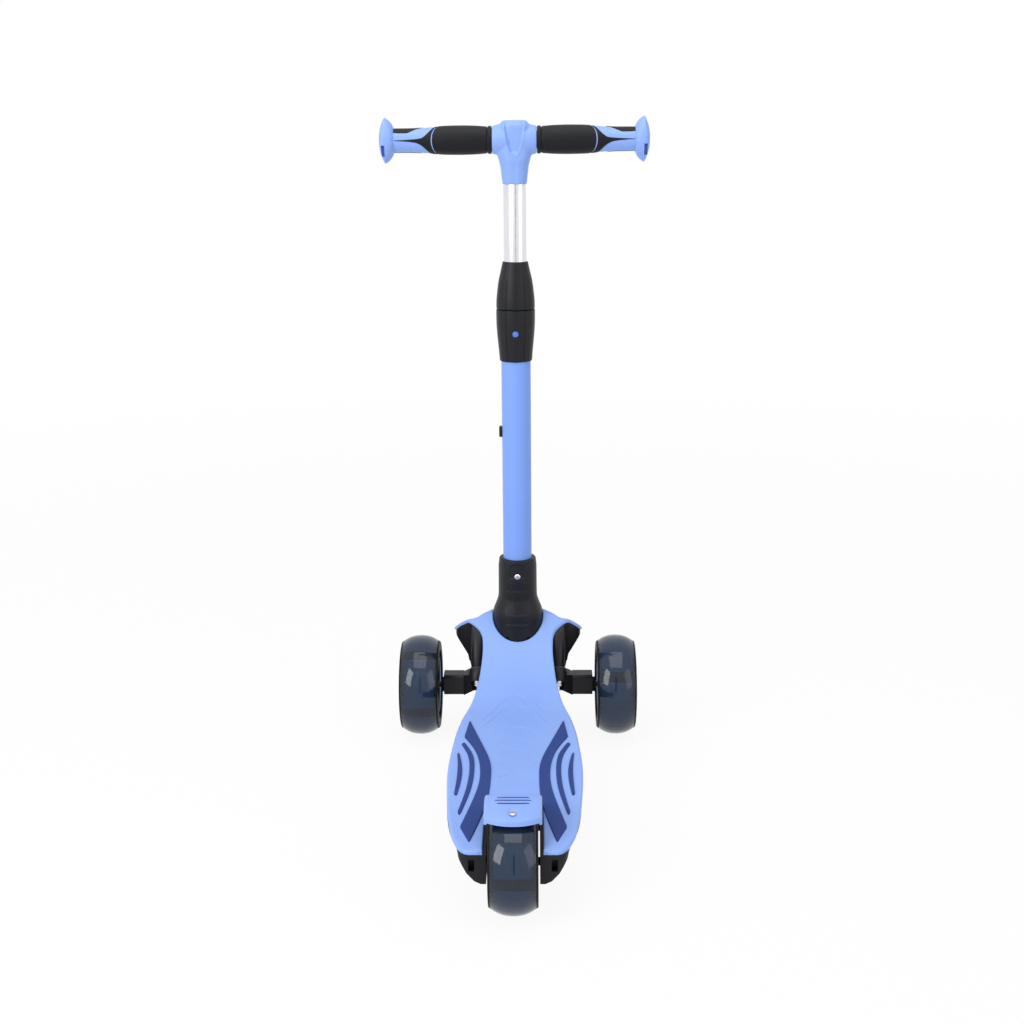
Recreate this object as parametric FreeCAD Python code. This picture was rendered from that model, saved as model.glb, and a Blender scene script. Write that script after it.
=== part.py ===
import FreeCAD, Part
import math
import os

# Three-wheeled folding kick scooter that steers by leaning.
# Millimetres. +Y is forwards, +X the rider's right, +Z up. The pieces are drawn with
# the front axle line at Y = 0 and saved moved forwards by AXLE_SHIFT, so that the
# origin is on the ground under the middle of the scooter's length.

V = FreeCAD.Vector

# ---- Driving dimensions -------------------------------------------------------
WHEELBASE = 408.0
TRACK = 236.0
FRONT_WHEEL_R = 60.0
FRONT_WHEEL_W = 46.0
REAR_WHEEL_R = 50.0
REAR_WHEEL_W = 47.0
DECK_TOP_Z = 75.0
DECK_FLOOR_Z = 47.0
DECK_REAR_Y = -434.0
COVER_T = 4.0
WALL_T = 3.0
SLOT_HALF_X = 28.2
SLOT_FRONT_Y = -344.0
WELL_HALF_X = 25.0
STEM_Y = 22.0
BOOT_R = 30.0
OUTER_TUBE_R = 17.0
OUTER_TUBE_TOP_Z = 452.0
INNER_TUBE_R = 12.8
INNER_TUBE_LOW_Z = 390.0
CLAMP_LOW_Z = 454.0
CLAMP_SPLIT_Z = 513.5
CLAMP_TOP_Z = 567.5
BAR_Z = 701.0
BAR_HALF = 150.5
BAR_TUBE_R = 9.5
T_LOW_Z = 653.0
T_TOP_Z = 722.0
KINGPIN_X = 48.0
KINGPIN_Y = -8.0
KINGPIN_Z = 89.0
KINGPIN_TILT = 30.0
KINGPIN_R = 4.0
STEER_ARM = 26.0
AXLE_R = 4.0
BRAKE_PIN_Y = -348.4
BRAKE_PIN_Z = 64.0
BRAKE_PIN_R = 2.0
FENDER_HALF_X = 27.2
FENDER_EYE_HALF_X = 24.0
FENDER_SCREW_Y = -422.0
FENDER_SEAT_Z = 106.2
LATCH_PIN_Y = 40.0
LATCH_PIN_Z = 108.0
LATCH_PIN_R = 2.0
BUTTON_Z = 487.0
FOLD_PIN_Y = 1.0
FOLD_PIN_Z = 126.0
FOLD_PIN_R = 3.0
FOLD_ANGLE = 80.0
BRACKET_HALF_X = 14.0
BRACKET_T = 3.0
RUN = 0.05
GAP = 0.3

AXLE_SHIFT = (WHEELBASE + REAR_WHEEL_R - FRONT_WHEEL_R) / 2
REAR_Y = -WHEELBASE
FRONT_Z = FRONT_WHEEL_R
REAR_Z = REAR_WHEEL_R
X_AXIS = V(1, 0, 0)
Y_AXIS = V(0, 1, 0)
Z_AXIS = V(0, 0, 1)
tilt = math.radians(KINGPIN_TILT)
KINGPIN_DIR = V(0, math.sin(tilt), math.cos(tilt))
KINGPIN_SIDE = V(0, math.cos(tilt), -math.sin(tilt))
SIDES = {"left": -1, "right": 1}


# ---- Small helpers ------------------------------------------------------------
def save(name, *shapes):
    """Write one node, moved into the saved frame."""
    solid = shapes[0] if len(shapes) == 1 else Part.makeCompound(list(shapes))
    solid = solid.copy()
    solid.translate(V(0, AXLE_SHIFT, 0))
    solid.exportStep("parts/%s.step" % name)


def rod(start, direction, radius, length):
    return Part.makeCylinder(radius, length, start, direction)


def rod_x(x0, x1, y, z, radius):
    return rod(V(x0, y, z), X_AXIS, radius, x1 - x0)


def ring(start, direction, outer, inner, length):
    return rod(start, direction, outer, length).cut(rod(start, direction, inner, length))


def block(x0, x1, y0, y1, z0, z1):
    return Part.makeBox(x1 - x0, y1 - y0, z1 - z0, V(x0, y0, z0))


def fused(*shapes):
    result = shapes[0].multiFuse(list(shapes[1:]))
    return result.removeSplitter()


def turned(profile, origin, axis, across):
    """Solid of revolution: profile is a closed list of (distance along, radius)."""
    points = [origin + axis * a + across * r for a, r in profile]
    face = Part.Face(Part.makePolygon(points + [points[0]]))
    return face.revolve(origin, axis, 360)


def turned_z(profile, y=0.0):
    return turned([(z, r) for r, z in profile], V(0, y, 0), Z_AXIS, X_AXIS)


def turned_x(profile, x, y, z, side=1):
    return turned(profile, V(x, y, z), X_AXIS * side, Z_AXIS)


def plate_x(points, x0, x1):
    """Flat plate between x0 and x1 with its outline given as (y, z)."""
    wire = Part.makePolygon([V(x0, y, z) for y, z in points + points[:1]])
    return Part.Face(wire).extrude(V(x1 - x0, 0, 0))


def plate_z(points, z0, z1):
    wire = Part.makePolygon([V(x, y, z0) for x, y in points + points[:1]])
    return Part.Face(wire).extrude(V(0, 0, z1 - z0))


def smooth_edge(points):
    curve = Part.BSplineCurve()
    curve.interpolate(points)
    return curve.toShape()


def mirrored(shape):
    return shape.mirror(V(0, 0, 0), X_AXIS)


def one_solid(shape):
    """The largest solid, without stray slivers left by a cut."""
    return max(shape.Solids, key=lambda s: s.Volume)


def kingpin_point(side, along, forward=0.0):
    base = V(side * KINGPIN_X, KINGPIN_Y, KINGPIN_Z)
    return base + KINGPIN_DIR * along + KINGPIN_SIDE * forward


# ---- Deck ---------------------------------------------------------------------
# Half-widths of the deck from the waist behind the boot to the tail.
DECK_STATIONS = [
    (-10, 42.2), (-45, 44.3), (-88, 51.0), (-134, 61.0), (-190, 67.2),
    (-262, 70.0), (-337, 66.5), (-398, 59.3), (-424, 51.5),
]
TAIL_CORNER_X = 43.0
TAIL_LOW_Z = 41.0
TAIL_CHEEK_LENGTH = 38.0
TAIL_SECTION = [(25, 41), (30, 41), (36, 44), (43, 52), (50, 64), (53, 71), (25, 71)]
WELL_WALL_T = 3.5
AXLE_BLOCK_X = 40.0
RIB_T = 2.5
DECK_RIB_YS = (-36, -120, -200, -280)
# Half-widths of the nose, whose two ears reach over the steering knuckles.
NOSE_STATIONS = [
    (-14, 41.5), (2, 44.0), (13, 54.0), (19, 66.0), (25, 77.0),
    (33, 78.0), (42, 66.0), (50, 47.0), (56, 24.0), (57.5, 0.0),
]
# Half-widths of the front housing from the ears down to the floor.
HOUSING_SIDE = [(80, 200), (80, 130), (78, 118), (69, 104), (61.5, 92), (58.5, 76), (50, 48)]
# Height of the cover along the middle line, from the tail to the nose.
RISE = [(-120, 75.0), (-90, 78.5), (-60, 88.0), (-30, 103.5), (-8, 119.0), (12, 135.0), (27, 146.0),
        (40, 147.0)]
NOSE_FRONT = [(50, 140.0), (56, 122.0), (58, 90.0)]
# Height of the nose across the scooter at EAR_START_Y, falling towards the tips of the
# ears; from there the ears also slope down forwards.
EAR_FALL = [(0, 154.0), (30, 152.5), (36, 149.8), (42.5, 146.6), (52.5, 140.2), (61, 139.3), (66, 137.0),
            (71, 134.1), (79, 128.6)]
EAR_START_Y = 12.0
EAR_SLOPE = 0.34


def deck_outline(z, inset):
    half = [(x - inset, y) for y, x in DECK_STATIONS]
    tail_y = DECK_REAR_Y + inset
    right = smooth_edge([V(x, y, z) for x, y in half])
    left = smooth_edge([V(-x, y, z) for x, y in half])
    corner = TAIL_CORNER_X - inset
    right_corner = smooth_edge([V(half[-1][0], half[-1][1], z), V((half[-1][0] + corner) / 2 + 1.5,
                                                                  tail_y + 3, z),
                                V(corner, tail_y, z)])
    left_corner = right_corner.mirror(V(0, 0, 0), X_AXIS)
    tail = Part.makeLine(V(corner, tail_y, z), V(-corner, tail_y, z))
    front = Part.makeLine(V(half[0][0], half[0][1], z), V(-half[0][0], half[0][1], z))
    edges = Part.sortEdges([right, left, right_corner, left_corner, tail, front])[0]
    return Part.Wire(edges)


def nose_outline(z, inset):
    half = [(max(x - inset, 0.0), y - (inset if y > 30 else 0)) for y, x in NOSE_STATIONS]
    right = smooth_edge([V(x, y, z) for x, y in half])
    left = right.mirror(V(0, 0, 0), X_AXIS)
    back = Part.makeLine(V(half[0][0], half[0][1], z), V(-half[0][0], half[0][1], z))
    return Part.Wire(Part.sortEdges([right, left, back])[0])


def under_rise(lower, forward_end):
    """Everything below the cover's middle line lowered by lower."""
    line = smooth_edge([V(-100, y, z - lower) for y, z in RISE])
    front = smooth_edge([V(-100, y, z - lower) for y, z in [RISE[-1]] + NOSE_FRONT])
    first = V(-100, -460, DECK_TOP_Z - lower)
    start = Part.makeLine(first, V(-100, RISE[0][0], RISE[0][1] - lower))
    end = V(-100, NOSE_FRONT[-1][0], NOSE_FRONT[-1][1] - lower)
    down = V(-100, forward_end, 20)
    back = V(-100, -460, 20)
    wire = Part.Wire([start, line, front, Part.makeLine(end, down), Part.makeLine(down, back),
                      Part.makeLine(back, first)])
    return Part.Face(wire).extrude(V(200, 0, 0))


def under_ears(lower, y0, y1):
    """Everything below the sloping roof of the ears lowered by lower."""
    rise = EAR_SLOPE * (EAR_START_Y - y0)
    right = [V(x, y0, z - lower + rise) for x, z in EAR_FALL]
    left = [V(-x, y0, z - lower + rise) for x, z in reversed(EAR_FALL)]
    points = left[:-1] + right + [V(right[-1].x, y0, 20), V(left[0].x, y0, 20)]
    roof = Part.Face(Part.makePolygon(points + [points[0]]))
    return roof.extrude(V(0, y1 - y0, -EAR_SLOPE * (y1 - y0)))


def nose_body(inset, lower, z_low):
    outline = Part.Face(nose_outline(z_low, inset)).extrude(V(0, 0, 150))
    return outline.common(under_rise(lower, 58)).common(under_ears(lower, -40, 70))


def boot_solid(grow=0.0):
    """The boot's outer body; its foot is cut along the slope of the cover."""
    body = turned_z([(0, 96), (BOOT_R + grow, 96), (BOOT_R + grow, 150), (26.8 + grow, 157),
                     (24.4 + grow, 163),
                     (23.2 + grow, 168), (23 + grow, 208), (21.8 + grow, 216), (0, 216)], STEM_Y)
    slope = plate_x([(-20, 60), (-20, 110.5), (STEM_Y - BOOT_R, 113), (STEM_Y - 2, 128),
                     (STEM_Y + BOOT_R, 134), (70, 134), (70, 60)], -60, 60)
    return body.cut(slope)


def folded(shape, angle):
    turned_copy = shape.copy()
    turned_copy.rotate(V(0, FOLD_PIN_Y, FOLD_PIN_Z), X_AXIS, angle)
    return turned_copy


def fold_clearance():
    """Space that the boot needs, upright and on the way down."""
    space = boot_solid(0.6)
    opening = rod(V(0, STEM_Y, 100), Z_AXIS, BOOT_R + 0.6, 60)
    swept = [folded(space, a) for a in (10, 25, 40, 55, 68, FOLD_ANGLE)]
    return [opening, space] + swept


CLEARANCE = fold_clearance()
TONGUE_ROOM = block(-9, 9, 40, 70, 84, 112)


def wheel_slot():
    return block(-SLOT_HALF_X, SLOT_HALF_X, -470, SLOT_FRONT_Y, 20, 90)


def make_deck_cover():
    deck = Part.Face(deck_outline(DECK_TOP_Z - COVER_T, 0)).extrude(V(0, 0, 90))
    deck = deck.common(under_rise(0, 58))
    below = block(-100, 100, -500, 70, 0, DECK_TOP_Z - COVER_T)
    rising = under_rise(COVER_T, 58).common(block(-100, 100, -119, 60, 0, 200))
    deck = deck.cut(below).cut(rising).cut(wheel_slot())
    nose = nose_body(0, 0, 60).cut(nose_body(0, COVER_T, 59))
    nose = nose.common(block(-90, 90, -14, 53.5, 60, 160))
    cover = fused(one_solid(deck), one_solid(nose))
    for space in CLEARANCE:
        cover = cover.cut(space)
    return one_solid(cover)


def make_tail_cheeks():
    """Full-depth ends of the deck on both sides of the rear wheel."""
    outline = Part.Face(deck_outline(TAIL_LOW_Z, 0)).extrude(V(0, 0, DECK_TOP_Z - COVER_T - TAIL_LOW_Z))
    cheeks = []
    for s in (-1, 1):
        points = [V(s * x, DECK_REAR_Y, z) for x, z in TAIL_SECTION]
        section = Part.Face(Part.makePolygon(points + [points[0]]))
        cheeks.append(section.extrude(V(0, TAIL_CHEEK_LENGTH, 0)).common(outline))
    return cheeks


def make_deck_base():
    upper = deck_outline(DECK_TOP_Z - COVER_T, 0)
    lower = deck_outline(DECK_FLOOR_Z, 15)
    hull = Part.makeLoft([lower, upper], True)
    upper_in = deck_outline(DECK_TOP_Z - COVER_T, WALL_T)
    lower_in = deck_outline(DECK_FLOOR_Z + WALL_T, 15 + WALL_T)
    inside = Part.makeLoft([lower_in, upper_in], True)
    base = hull.cut(inside)
    front_x = DECK_STATIONS[0][1] - WALL_T
    base = base.cut(block(-60, 60, -34, 0, 40, 80))
    # Ribs, the walls of the wheel slot and the floor that runs on under the nose.
    ribs = [block(-70, 70, y, y + RIB_T, DECK_FLOOR_Z,
                  DECK_TOP_Z - COVER_T).common(hull) for y in DECK_RIB_YS]
    wall_x = WELL_HALF_X + WELL_WALL_T
    top = DECK_TOP_Z - COVER_T
    well = block(-wall_x, wall_x, DECK_REAR_Y, SLOT_FRONT_Y + WELL_WALL_T, DECK_FLOOR_Z, top).common(hull)
    spine = block(-1.5, 1.5, SLOT_FRONT_Y, -36, DECK_FLOOR_Z, DECK_TOP_Z - COVER_T)
    floor = block(-front_x, front_x, -40, 50, DECK_FLOOR_Z, DECK_FLOOR_Z + 4)
    bosses = [rod(V(x, y, DECK_FLOOR_Z), Z_AXIS, 5, DECK_TOP_Z - COVER_T - DECK_FLOOR_Z) for x,
              y in deck_screw_places()]
    axle_block = block(-AXLE_BLOCK_X, AXLE_BLOCK_X, REAR_Y - 11, REAR_Y + 11, DECK_FLOOR_Z,
                       top).common(hull)
    axle_boss = rod_x(-AXLE_BLOCK_X, AXLE_BLOCK_X, REAR_Y, REAR_Z, 11)
    base = fused(base, floor, spine, well, axle_block, axle_boss, *(ribs + bosses + make_tail_cheeks()))
    base = base.cut(block(-WELL_HALF_X, WELL_HALF_X, -470, SLOT_FRONT_Y, 20, 90))
    base = base.cut(rod_x(-80, 80, REAR_Y, REAR_Z, AXLE_R))
    # Recesses for the axle's head and nut, and a blind pocket in each tail end.
    for s in (-1, 1):
        base = base.cut(rod_x(min(s * 38, s * 80), max(s * 38, s * 80), REAR_Y, REAR_Z, 9))
        pocket = block(s * 38.5 - 2.8, s * 38.5 + 2.8, DECK_REAR_Y - 10, DECK_REAR_Y + 9, 54, 66)
        base = base.cut(pocket)
    for x, y in deck_screw_places():
        base = base.cut(rod(V(x, y, DECK_FLOOR_Z - 1), Z_AXIS, 1.6, 25))
        base = base.cut(rod(V(x, y, DECK_FLOOR_Z - 1), Z_AXIS, 3.4, 4))
    base = base.cut(rod_x(-34, 34, BRAKE_PIN_Y, BRAKE_PIN_Z, BRAKE_PIN_R))
    for x, y in housing_screw_places() + bracket_screw_places():
        base = base.cut(rod(V(x, y, DECK_FLOOR_Z - 1), Z_AXIS, 2, 6))
    return one_solid(base)


def deck_screw_places():
    return [(s * x, y) for s in (-1, 1) for x, y in ((34, -70), (44, -160), (48, -250), (44, -330))]


def housing_screw_places():
    return [(s * 32, y) for s in (-1, 1) for y in (45,)]


def bracket_screw_places():
    return [(s * 7, y) for s in (-1, 1) for y in (30, 42)]


def screw_up(x, y, z, head_r, shank_r, length):
    """Pan-head screw driven upwards, with a cross recess in its head."""
    head = turned([(0, 0), (0, head_r), (1.2, head_r), (2.2, head_r * 0.6), (2.4, 0)], V(x, y, z),
                  V(0, 0, -1), X_AXIS)
    shank = rod(V(x, y, z - 0.1), Z_AXIS, shank_r, length)
    slot_x = block(x - head_r * 0.55, x + head_r * 0.55, y - 0.4, y + 0.4, z - 3, z - 1.4)
    slot_y = block(x - 0.4, x + 0.4, y - head_r * 0.55, y + head_r * 0.55, z - 3, z - 1.4)
    return fused(head, shank).cut(slot_x).cut(slot_y)


def make_pads(side):
    """Three soft grip pads let into the deck on one side."""
    z0 = DECK_TOP_Z
    height = 1.3

    def pad(outer, inner):
        right = smooth_edge([V(side * x, y, z0) for x, y in outer])
        left = smooth_edge([V(side * x, y, z0) for x, y in inner])
        end_a = Part.makeLine(V(side * outer[0][0], outer[0][1], z0), V(side * inner[0][0], inner[0][1],
                                                                        z0))
        end_b = Part.makeLine(V(side * outer[-1][0], outer[-1][1], z0),
                              V(side * inner[-1][0], inner[-1][1], z0))
        wire = Part.Wire(Part.sortEdges([right, left, end_a, end_b])[0])
        return Part.Face(wire).extrude(V(0, 0, height))

    big = pad([(56.5, -186), (43.5, -220), (36.8, -259), (36.6, -298), (41.7, -337), (51.0, -389)],
              [(52.5, -142), (35.5, -208), (25.5, -256), (24.6, -284), (25.8, -326), (31.7, -372),
               (41.0, -419)])
    medium = pad([(59.0, -204), (50.6, -232), (47.5, -262), (48.2, -300), (55.0, -360)],
                 [(56.0, -200), (45.6, -230), (42.3, -262), (43.2, -302), (52.5, -366)])
    small = pad([(62.0, -226), (59.8, -262), (60.4, -322)],
                [(59.6, -228), (54.9, -264), (57.4, -325)])
    return Part.makeCompound([big, medium, small])


def make_nose_trim():
    """Coloured shield that closes the front of the nose below the cover."""
    outer = nose_body(0, -1.0, 70).common(block(-80, 80, 53.7, 70, 70, 160))
    inner = nose_body(3, COVER_T + 2, 69)
    shield = outer.cut(inner)
    for space in CLEARANCE:
        shield = shield.cut(space)
    return one_solid(shield.cut(TONGUE_ROOM))


def between_sides(side_line, inset):
    """Space between two mirrored side walls whose right half is given as (x, z)."""
    right = [(x - inset, z) for x, z in side_line]
    points = [V(x, -60, z) for x, z in right] + [V(-x, -60, z) for x, z in reversed(right)]
    return Part.Face(Part.makePolygon(points + [points[0]])).extrude(V(0, 150, 0))


def make_truck_housing():
    low = DECK_FLOOR_Z + 4
    body = nose_body(2, COVER_T + GAP, low).cut(block(-90, 90, 53.4, 70, 0, 200))
    # The sides fall inwards from the ears to the floor.
    body = body.common(between_sides(HOUSING_SIDE, 0))
    hollow = nose_body(5, COVER_T + GAP + 3, low - 2).common(block(-90, 90, -60, 50, 0, 200))
    body = body.cut(hollow.common(between_sides(HOUSING_SIDE, 3.5)))
    # Open to the rear below the ears, where the knuckles work.
    body = body.cut(block(-90, 90, -60, 17, 0, 111))
    body = body.cut(block(-90, 90, -60, 24, 0, 84))
    limit = nose_body(2, COVER_T + GAP, low)
    roof = under_rise(COVER_T + GAP, 58).common(under_ears(COVER_T + GAP, -60, 70))
    bosses = []
    for s in (-1, 1):
        boss = rod(kingpin_point(s, -4), KINGPIN_DIR, 8.5, 60)
        web = block(s * KINGPIN_X - 4, s * KINGPIN_X + 4, -2, 22, 96, 140)
        above = rod(kingpin_point(s, -4), KINGPIN_DIR, 60, 90)
        bosses += [boss.common(roof), web.common(limit).common(above)]
        bosses.append(rod(V(s * 32, 45, low), Z_AXIS, 5, 40))
    body = fused(body, *bosses)
    for s in (-1, 1):
        body = body.cut(rod(kingpin_point(s, -10), KINGPIN_DIR, KINGPIN_R, 32))
        body = body.cut(rod(V(s * 32, 45, low - 1), Z_AXIS, 1.6, 20))
    for space in CLEARANCE:
        body = body.cut(space)
    body = body.cut(TONGUE_ROOM)
    # Room for the fold bracket and the latch in the middle.
    body = body.cut(block(-20, 20, -30, 50.2, 0, 160))
    return one_solid(body)


# ---- Steering -----------------------------------------------------------------
def make_kingpin(side):
    shank = rod(kingpin_point(side, -21.4), KINGPIN_DIR, KINGPIN_R, 43)
    head = Part.makeSphere(7.2, kingpin_point(side, -20.4))
    head = head.common(rod(kingpin_point(side, -30), KINGPIN_DIR, 9, 8.6))
    socket = rod(kingpin_point(side, -29), KINGPIN_DIR, 2.4, 4.4)
    return fused(head, shank).cut(socket)


def make_kingpin_bush(side):
    """Soft ring between the fixed boss and the knuckle that centres the steering."""
    return ring(kingpin_point(side, -6.6), KINGPIN_DIR, 9, KINGPIN_R, 2.5)


def make_knuckle(side):
    eye = rod(kingpin_point(side, -21), KINGPIN_DIR, 11, 14)
    steer_arm_end = rod(kingpin_point(side, -17.5, STEER_ARM), KINGPIN_DIR, 6, 7)
    steer_web = Part.makeBox(8, STEER_ARM, 7)
    place = FreeCAD.Matrix()
    corner = kingpin_point(side, -17.5) - V(4, 0, 0)
    place.A11, place.A21, place.A31 = 1, 0, 0
    place.A12, place.A22, place.A32 = KINGPIN_SIDE.x, KINGPIN_SIDE.y, KINGPIN_SIDE.z
    place.A13, place.A23, place.A33 = KINGPIN_DIR.x, KINGPIN_DIR.y, KINGPIN_DIR.z
    place.A14, place.A24, place.A34 = corner.x, corner.y, corner.z
    steer_web = steer_web.transformGeometry(place)
    beam_in = Part.Wire(Part.makePolygon([V(side * 50, y, z) for y, z in
                                          ((-21, 62), (2, 50), (6, 66), (-4, 86), (-21, 80), (-21, 62))]))
    beam_out = Part.Wire(Part.makePolygon([V(side * 66, y, z) for y, z in
                                           ((-11, 50), (11, 50), (11, 70), (3, 76), (-11, 76), (-11, 50))]))
    root_beam = Part.makeLoft([beam_in, beam_out], True)
    arm = block(min(side * 66, side * 90), max(side * 66, side * 90), -11, 11, 50, 75)
    arm = arm.makeFillet(3.5, [e for e in arm.Edges if abs(e.tangentAt(e.FirstParameter).x) > 0.9])
    collar = rod_x(min(side * 88, side * 93), max(side * 88, side * 93), 0, FRONT_Z, 9)
    knuckle = fused(eye, steer_arm_end, steer_web, root_beam, arm, collar)
    knuckle = knuckle.cut(rod(kingpin_point(side, -40), KINGPIN_DIR, KINGPIN_R + RUN, 60))
    head_room = rod(kingpin_point(side, -40), KINGPIN_DIR, 9, 18.6)
    knuckle = knuckle.cut(head_room)
    bush_room = rod(kingpin_point(side, -7), KINGPIN_DIR, 12.5, 30)
    knuckle = knuckle.cut(bush_room)
    knuckle = knuckle.cut(rod_x(min(side * 64, side * 100), max(side * 64, side * 100), 0, FRONT_Z, AXLE_R))
    nut_pocket = block(min(side * 70, side * 76.4), max(side * 70, side * 76.4), -7.7, 7.7, FRONT_Z - 30,
                       FRONT_Z + 7)
    knuckle = knuckle.cut(nut_pocket)
    knuckle = knuckle.cut(rod(kingpin_point(side, -18, STEER_ARM), KINGPIN_DIR, 2.5, 30))
    return one_solid(knuckle)


def make_tie_pin(side):
    shank = rod(kingpin_point(side, -17.5, STEER_ARM), KINGPIN_DIR, 2.5, 16.5)
    head = rod(kingpin_point(side, -1.6, STEER_ARM), KINGPIN_DIR, 4.5, 2)
    return fused(shank, head)


def make_tie_rod():
    eyes = [rod(kingpin_point(s, -10.2, STEER_ARM), KINGPIN_DIR, 6, 8.2) for s in (-1, 1)]
    middle = kingpin_point(1, -6.1, STEER_ARM)
    bar = rod(V(-KINGPIN_X, middle.y, middle.z), X_AXIS, 3.2, 2 * KINGPIN_X)
    tie = fused(bar, *eyes)
    for s in (-1, 1):
        tie = tie.cut(rod(kingpin_point(s, -20, STEER_ARM), KINGPIN_DIR, 2.5 + RUN, 30))
    return one_solid(tie)


# ---- Wheels -------------------------------------------------------------------
def tyre_profile(width, radius, bore):
    """Rounded crown with chamfer-like shoulders."""
    w = width / 2
    crown = [(-w, bore), (-w, radius - 9)]
    for step in range(-6, 7):
        x = step / 6 * (w - 1.5)
        crown.append((x, radius - 7.5 * abs(step / 6) ** 2.4))
    crown += [(w, radius - 9), (w, bore)]
    return crown


def make_tyre(x, y, z, width, radius, bore):
    return turned_x(tyre_profile(width, radius, bore), x, y, z)


def make_hub(x, y, z, width, radius, spokes):
    """Rim ring, web with round windows and a bearing barrel."""
    w = width / 2
    rim = turned_x([(-w, radius - 4), (-w, radius), (w, radius), (w, radius - 4)], x, y, z)
    barrel = turned_x([(-w + 2, 11), (-w + 2, 14.5), (w - 2, 14.5), (w - 2, 11)], x, y, z)
    web = turned_x([(-4, 14), (-4, radius - 3.5), (4, radius - 3.5), (4, 14)], x, y, z)
    ribs = []
    for k in range(spokes):
        angle = 360.0 / spokes * k
        rib = block(x - w + 3, x + w - 3, y - 2, y + 2, z + 13, z + radius - 3)
        rib.rotate(V(x, y, z), X_AXIS, angle)
        ribs.append(rib)
    hub = fused(rim, barrel, web, *ribs)
    shoulder = turned_x([(-6, 9), (-6, 12), (6, 12), (6, 9)], x, y, z)
    return one_solid(fused(hub, shoulder))


def make_bearings(x, y, z, width):
    pair = []
    for s in (-1, 1):
        start = V(x + s * (width / 2 - 2) - (7 if s > 0 else 0), y, z)
        pair.append(ring(start, X_AXIS, 11, AXLE_R + RUN, 7))
    return Part.makeCompound(pair)


def make_front_axle(side):
    """Axle bolt, head on the outside of the wheel."""
    outer = TRACK / 2 + FRONT_WHEEL_W / 2
    shank = rod_x(min(side * 66, side * (outer - 4)), max(side * 66, side * (outer - 4)), 0, FRONT_Z,
                  AXLE_R)
    head = turned_x([(0, 0), (0, 7.5), (2.2, 7.5), (3.6, 5), (3.9, 0)], side * (outer - 4.2), 0, FRONT_Z,
                    side)
    socket = rod_x(min(side * (outer - 2.4), side * (outer + 1)),
                   max(side * (outer - 2.4), side * (outer + 1)),
                   0, FRONT_Z, 2.6)
    return fused(shank, head).cut(socket)


def nut(x0, x1, y, z, across):
    radius = across / math.sqrt(3)
    points = [V(x0, y + radius * math.cos(math.radians(60 * k)),
                z + radius * math.sin(math.radians(60 * k)))
              for k in range(6)]
    body = Part.Face(Part.makePolygon(points + [points[0]])).extrude(V(x1 - x0, 0, 0))
    return body.cut(rod_x(x0 - 1, x1 + 1, y, z, AXLE_R))


# ---- Rear brake ---------------------------------------------------------------
def make_brake_fender():
    outer = [(-344.8, 64), (-345.2, 76), (-349, 83), (-359, 92), (-372, 101.5), (-384, 107), (-396, 109),
             (-412, 108.8), (-424, 107.2),
             (-431, 104.6), (-433.5, 101)]
    inner = [(-431.5, 100.4), (-428.5, 102.3), (-422, 104.2), (-411, 105.6), (-396, 106), (-385, 104.3),
             (-374, 98.8),
             (-362, 89), (-352.6, 80.5), (-349.6, 74), (-349.2, 64)]
    shell = plate_x(outer + inner, -FENDER_HALF_X, FENDER_HALF_X)
    # The part that reaches down into the wheel well is narrower.
    for s in (-1, 1):
        x0, x1 = sorted((s * FENDER_EYE_HALF_X, s * 40))
        shell = shell.cut(block(x0, x1, -360, -340, 50, DECK_TOP_Z - COVER_T + 1))
    eye = rod_x(-FENDER_EYE_HALF_X, FENDER_EYE_HALF_X, BRAKE_PIN_Y, BRAKE_PIN_Z, 4)
    skirt_points = [(-362, 91), (-374, 101), (-386, 105.5), (-396, 107.5), (-411, 107.4), (-423, 106.2),
                    (-431, 103.4),
                    (-433, 100.5), (-428, 91), (-405, 91), (-380, 89)]
    skirts = [plate_x(skirt_points, s * 25.7 - 1.3, s * 25.7 + 1.3) for s in (-1, 1)]
    fender = fused(shell, eye, *skirts)
    fender = fender.cut(rod_x(-40, 40, BRAKE_PIN_Y, BRAKE_PIN_Z, BRAKE_PIN_R + RUN))
    # Screw seat in the top of the fender.
    fender = fender.cut(rod(V(0, FENDER_SCREW_Y, 95), Z_AXIS, 1.6, 20))
    fender = fender.cut(rod(V(0, FENDER_SCREW_Y, FENDER_SEAT_Z), Z_AXIS, 4.2, 10))
    return one_solid(fender)


def make_brake_screw():
    seat = V(0, FENDER_SCREW_Y, FENDER_SEAT_Z)
    head = turned([(0, 0), (0, 3.4), (0.6, 3.4), (1.5, 2.2), (1.7, 0)], seat, Z_AXIS, X_AXIS)
    shank = rod(seat - V(0, 0, 4.9), Z_AXIS, 1.6, 5)
    recess = [Part.makeBox(4, 0.8, 2, seat + V(-2, -0.4, 0.9)), Part.makeBox(0.8, 4, 2, seat + V(-0.4, -2,
                                                                                                 0.9))]
    return fused(head, shank).cut(recess[0]).cut(recess[1])


def make_brake_plate():
    """Steel friction strip under the fender, bent round the wheel."""
    bend = ring(V(-14, REAR_Y, REAR_Z), X_AXIS, REAR_WHEEL_R + 4.1, REAR_WHEEL_R + 3.05, 28)
    keep = block(-14, 14, REAR_Y - 17, REAR_Y + 8, 90, 110)
    plate = bend.common(keep)
    post = block(-6, 6, FENDER_SCREW_Y - 3, FENDER_SCREW_Y + 3, 98, 105.6)
    post = post.cut(rod_x(-14, 14, REAR_Y, REAR_Z, REAR_WHEEL_R + 3.1))
    hole = rod(V(0, FENDER_SCREW_Y, 90), Z_AXIS, 1.6, 30)
    return one_solid(fused(plate, post).cut(make_brake_fender()).cut(hole))


def make_brake_pin():
    return rod_x(-34, 34, BRAKE_PIN_Y, BRAKE_PIN_Z, BRAKE_PIN_R)


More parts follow.
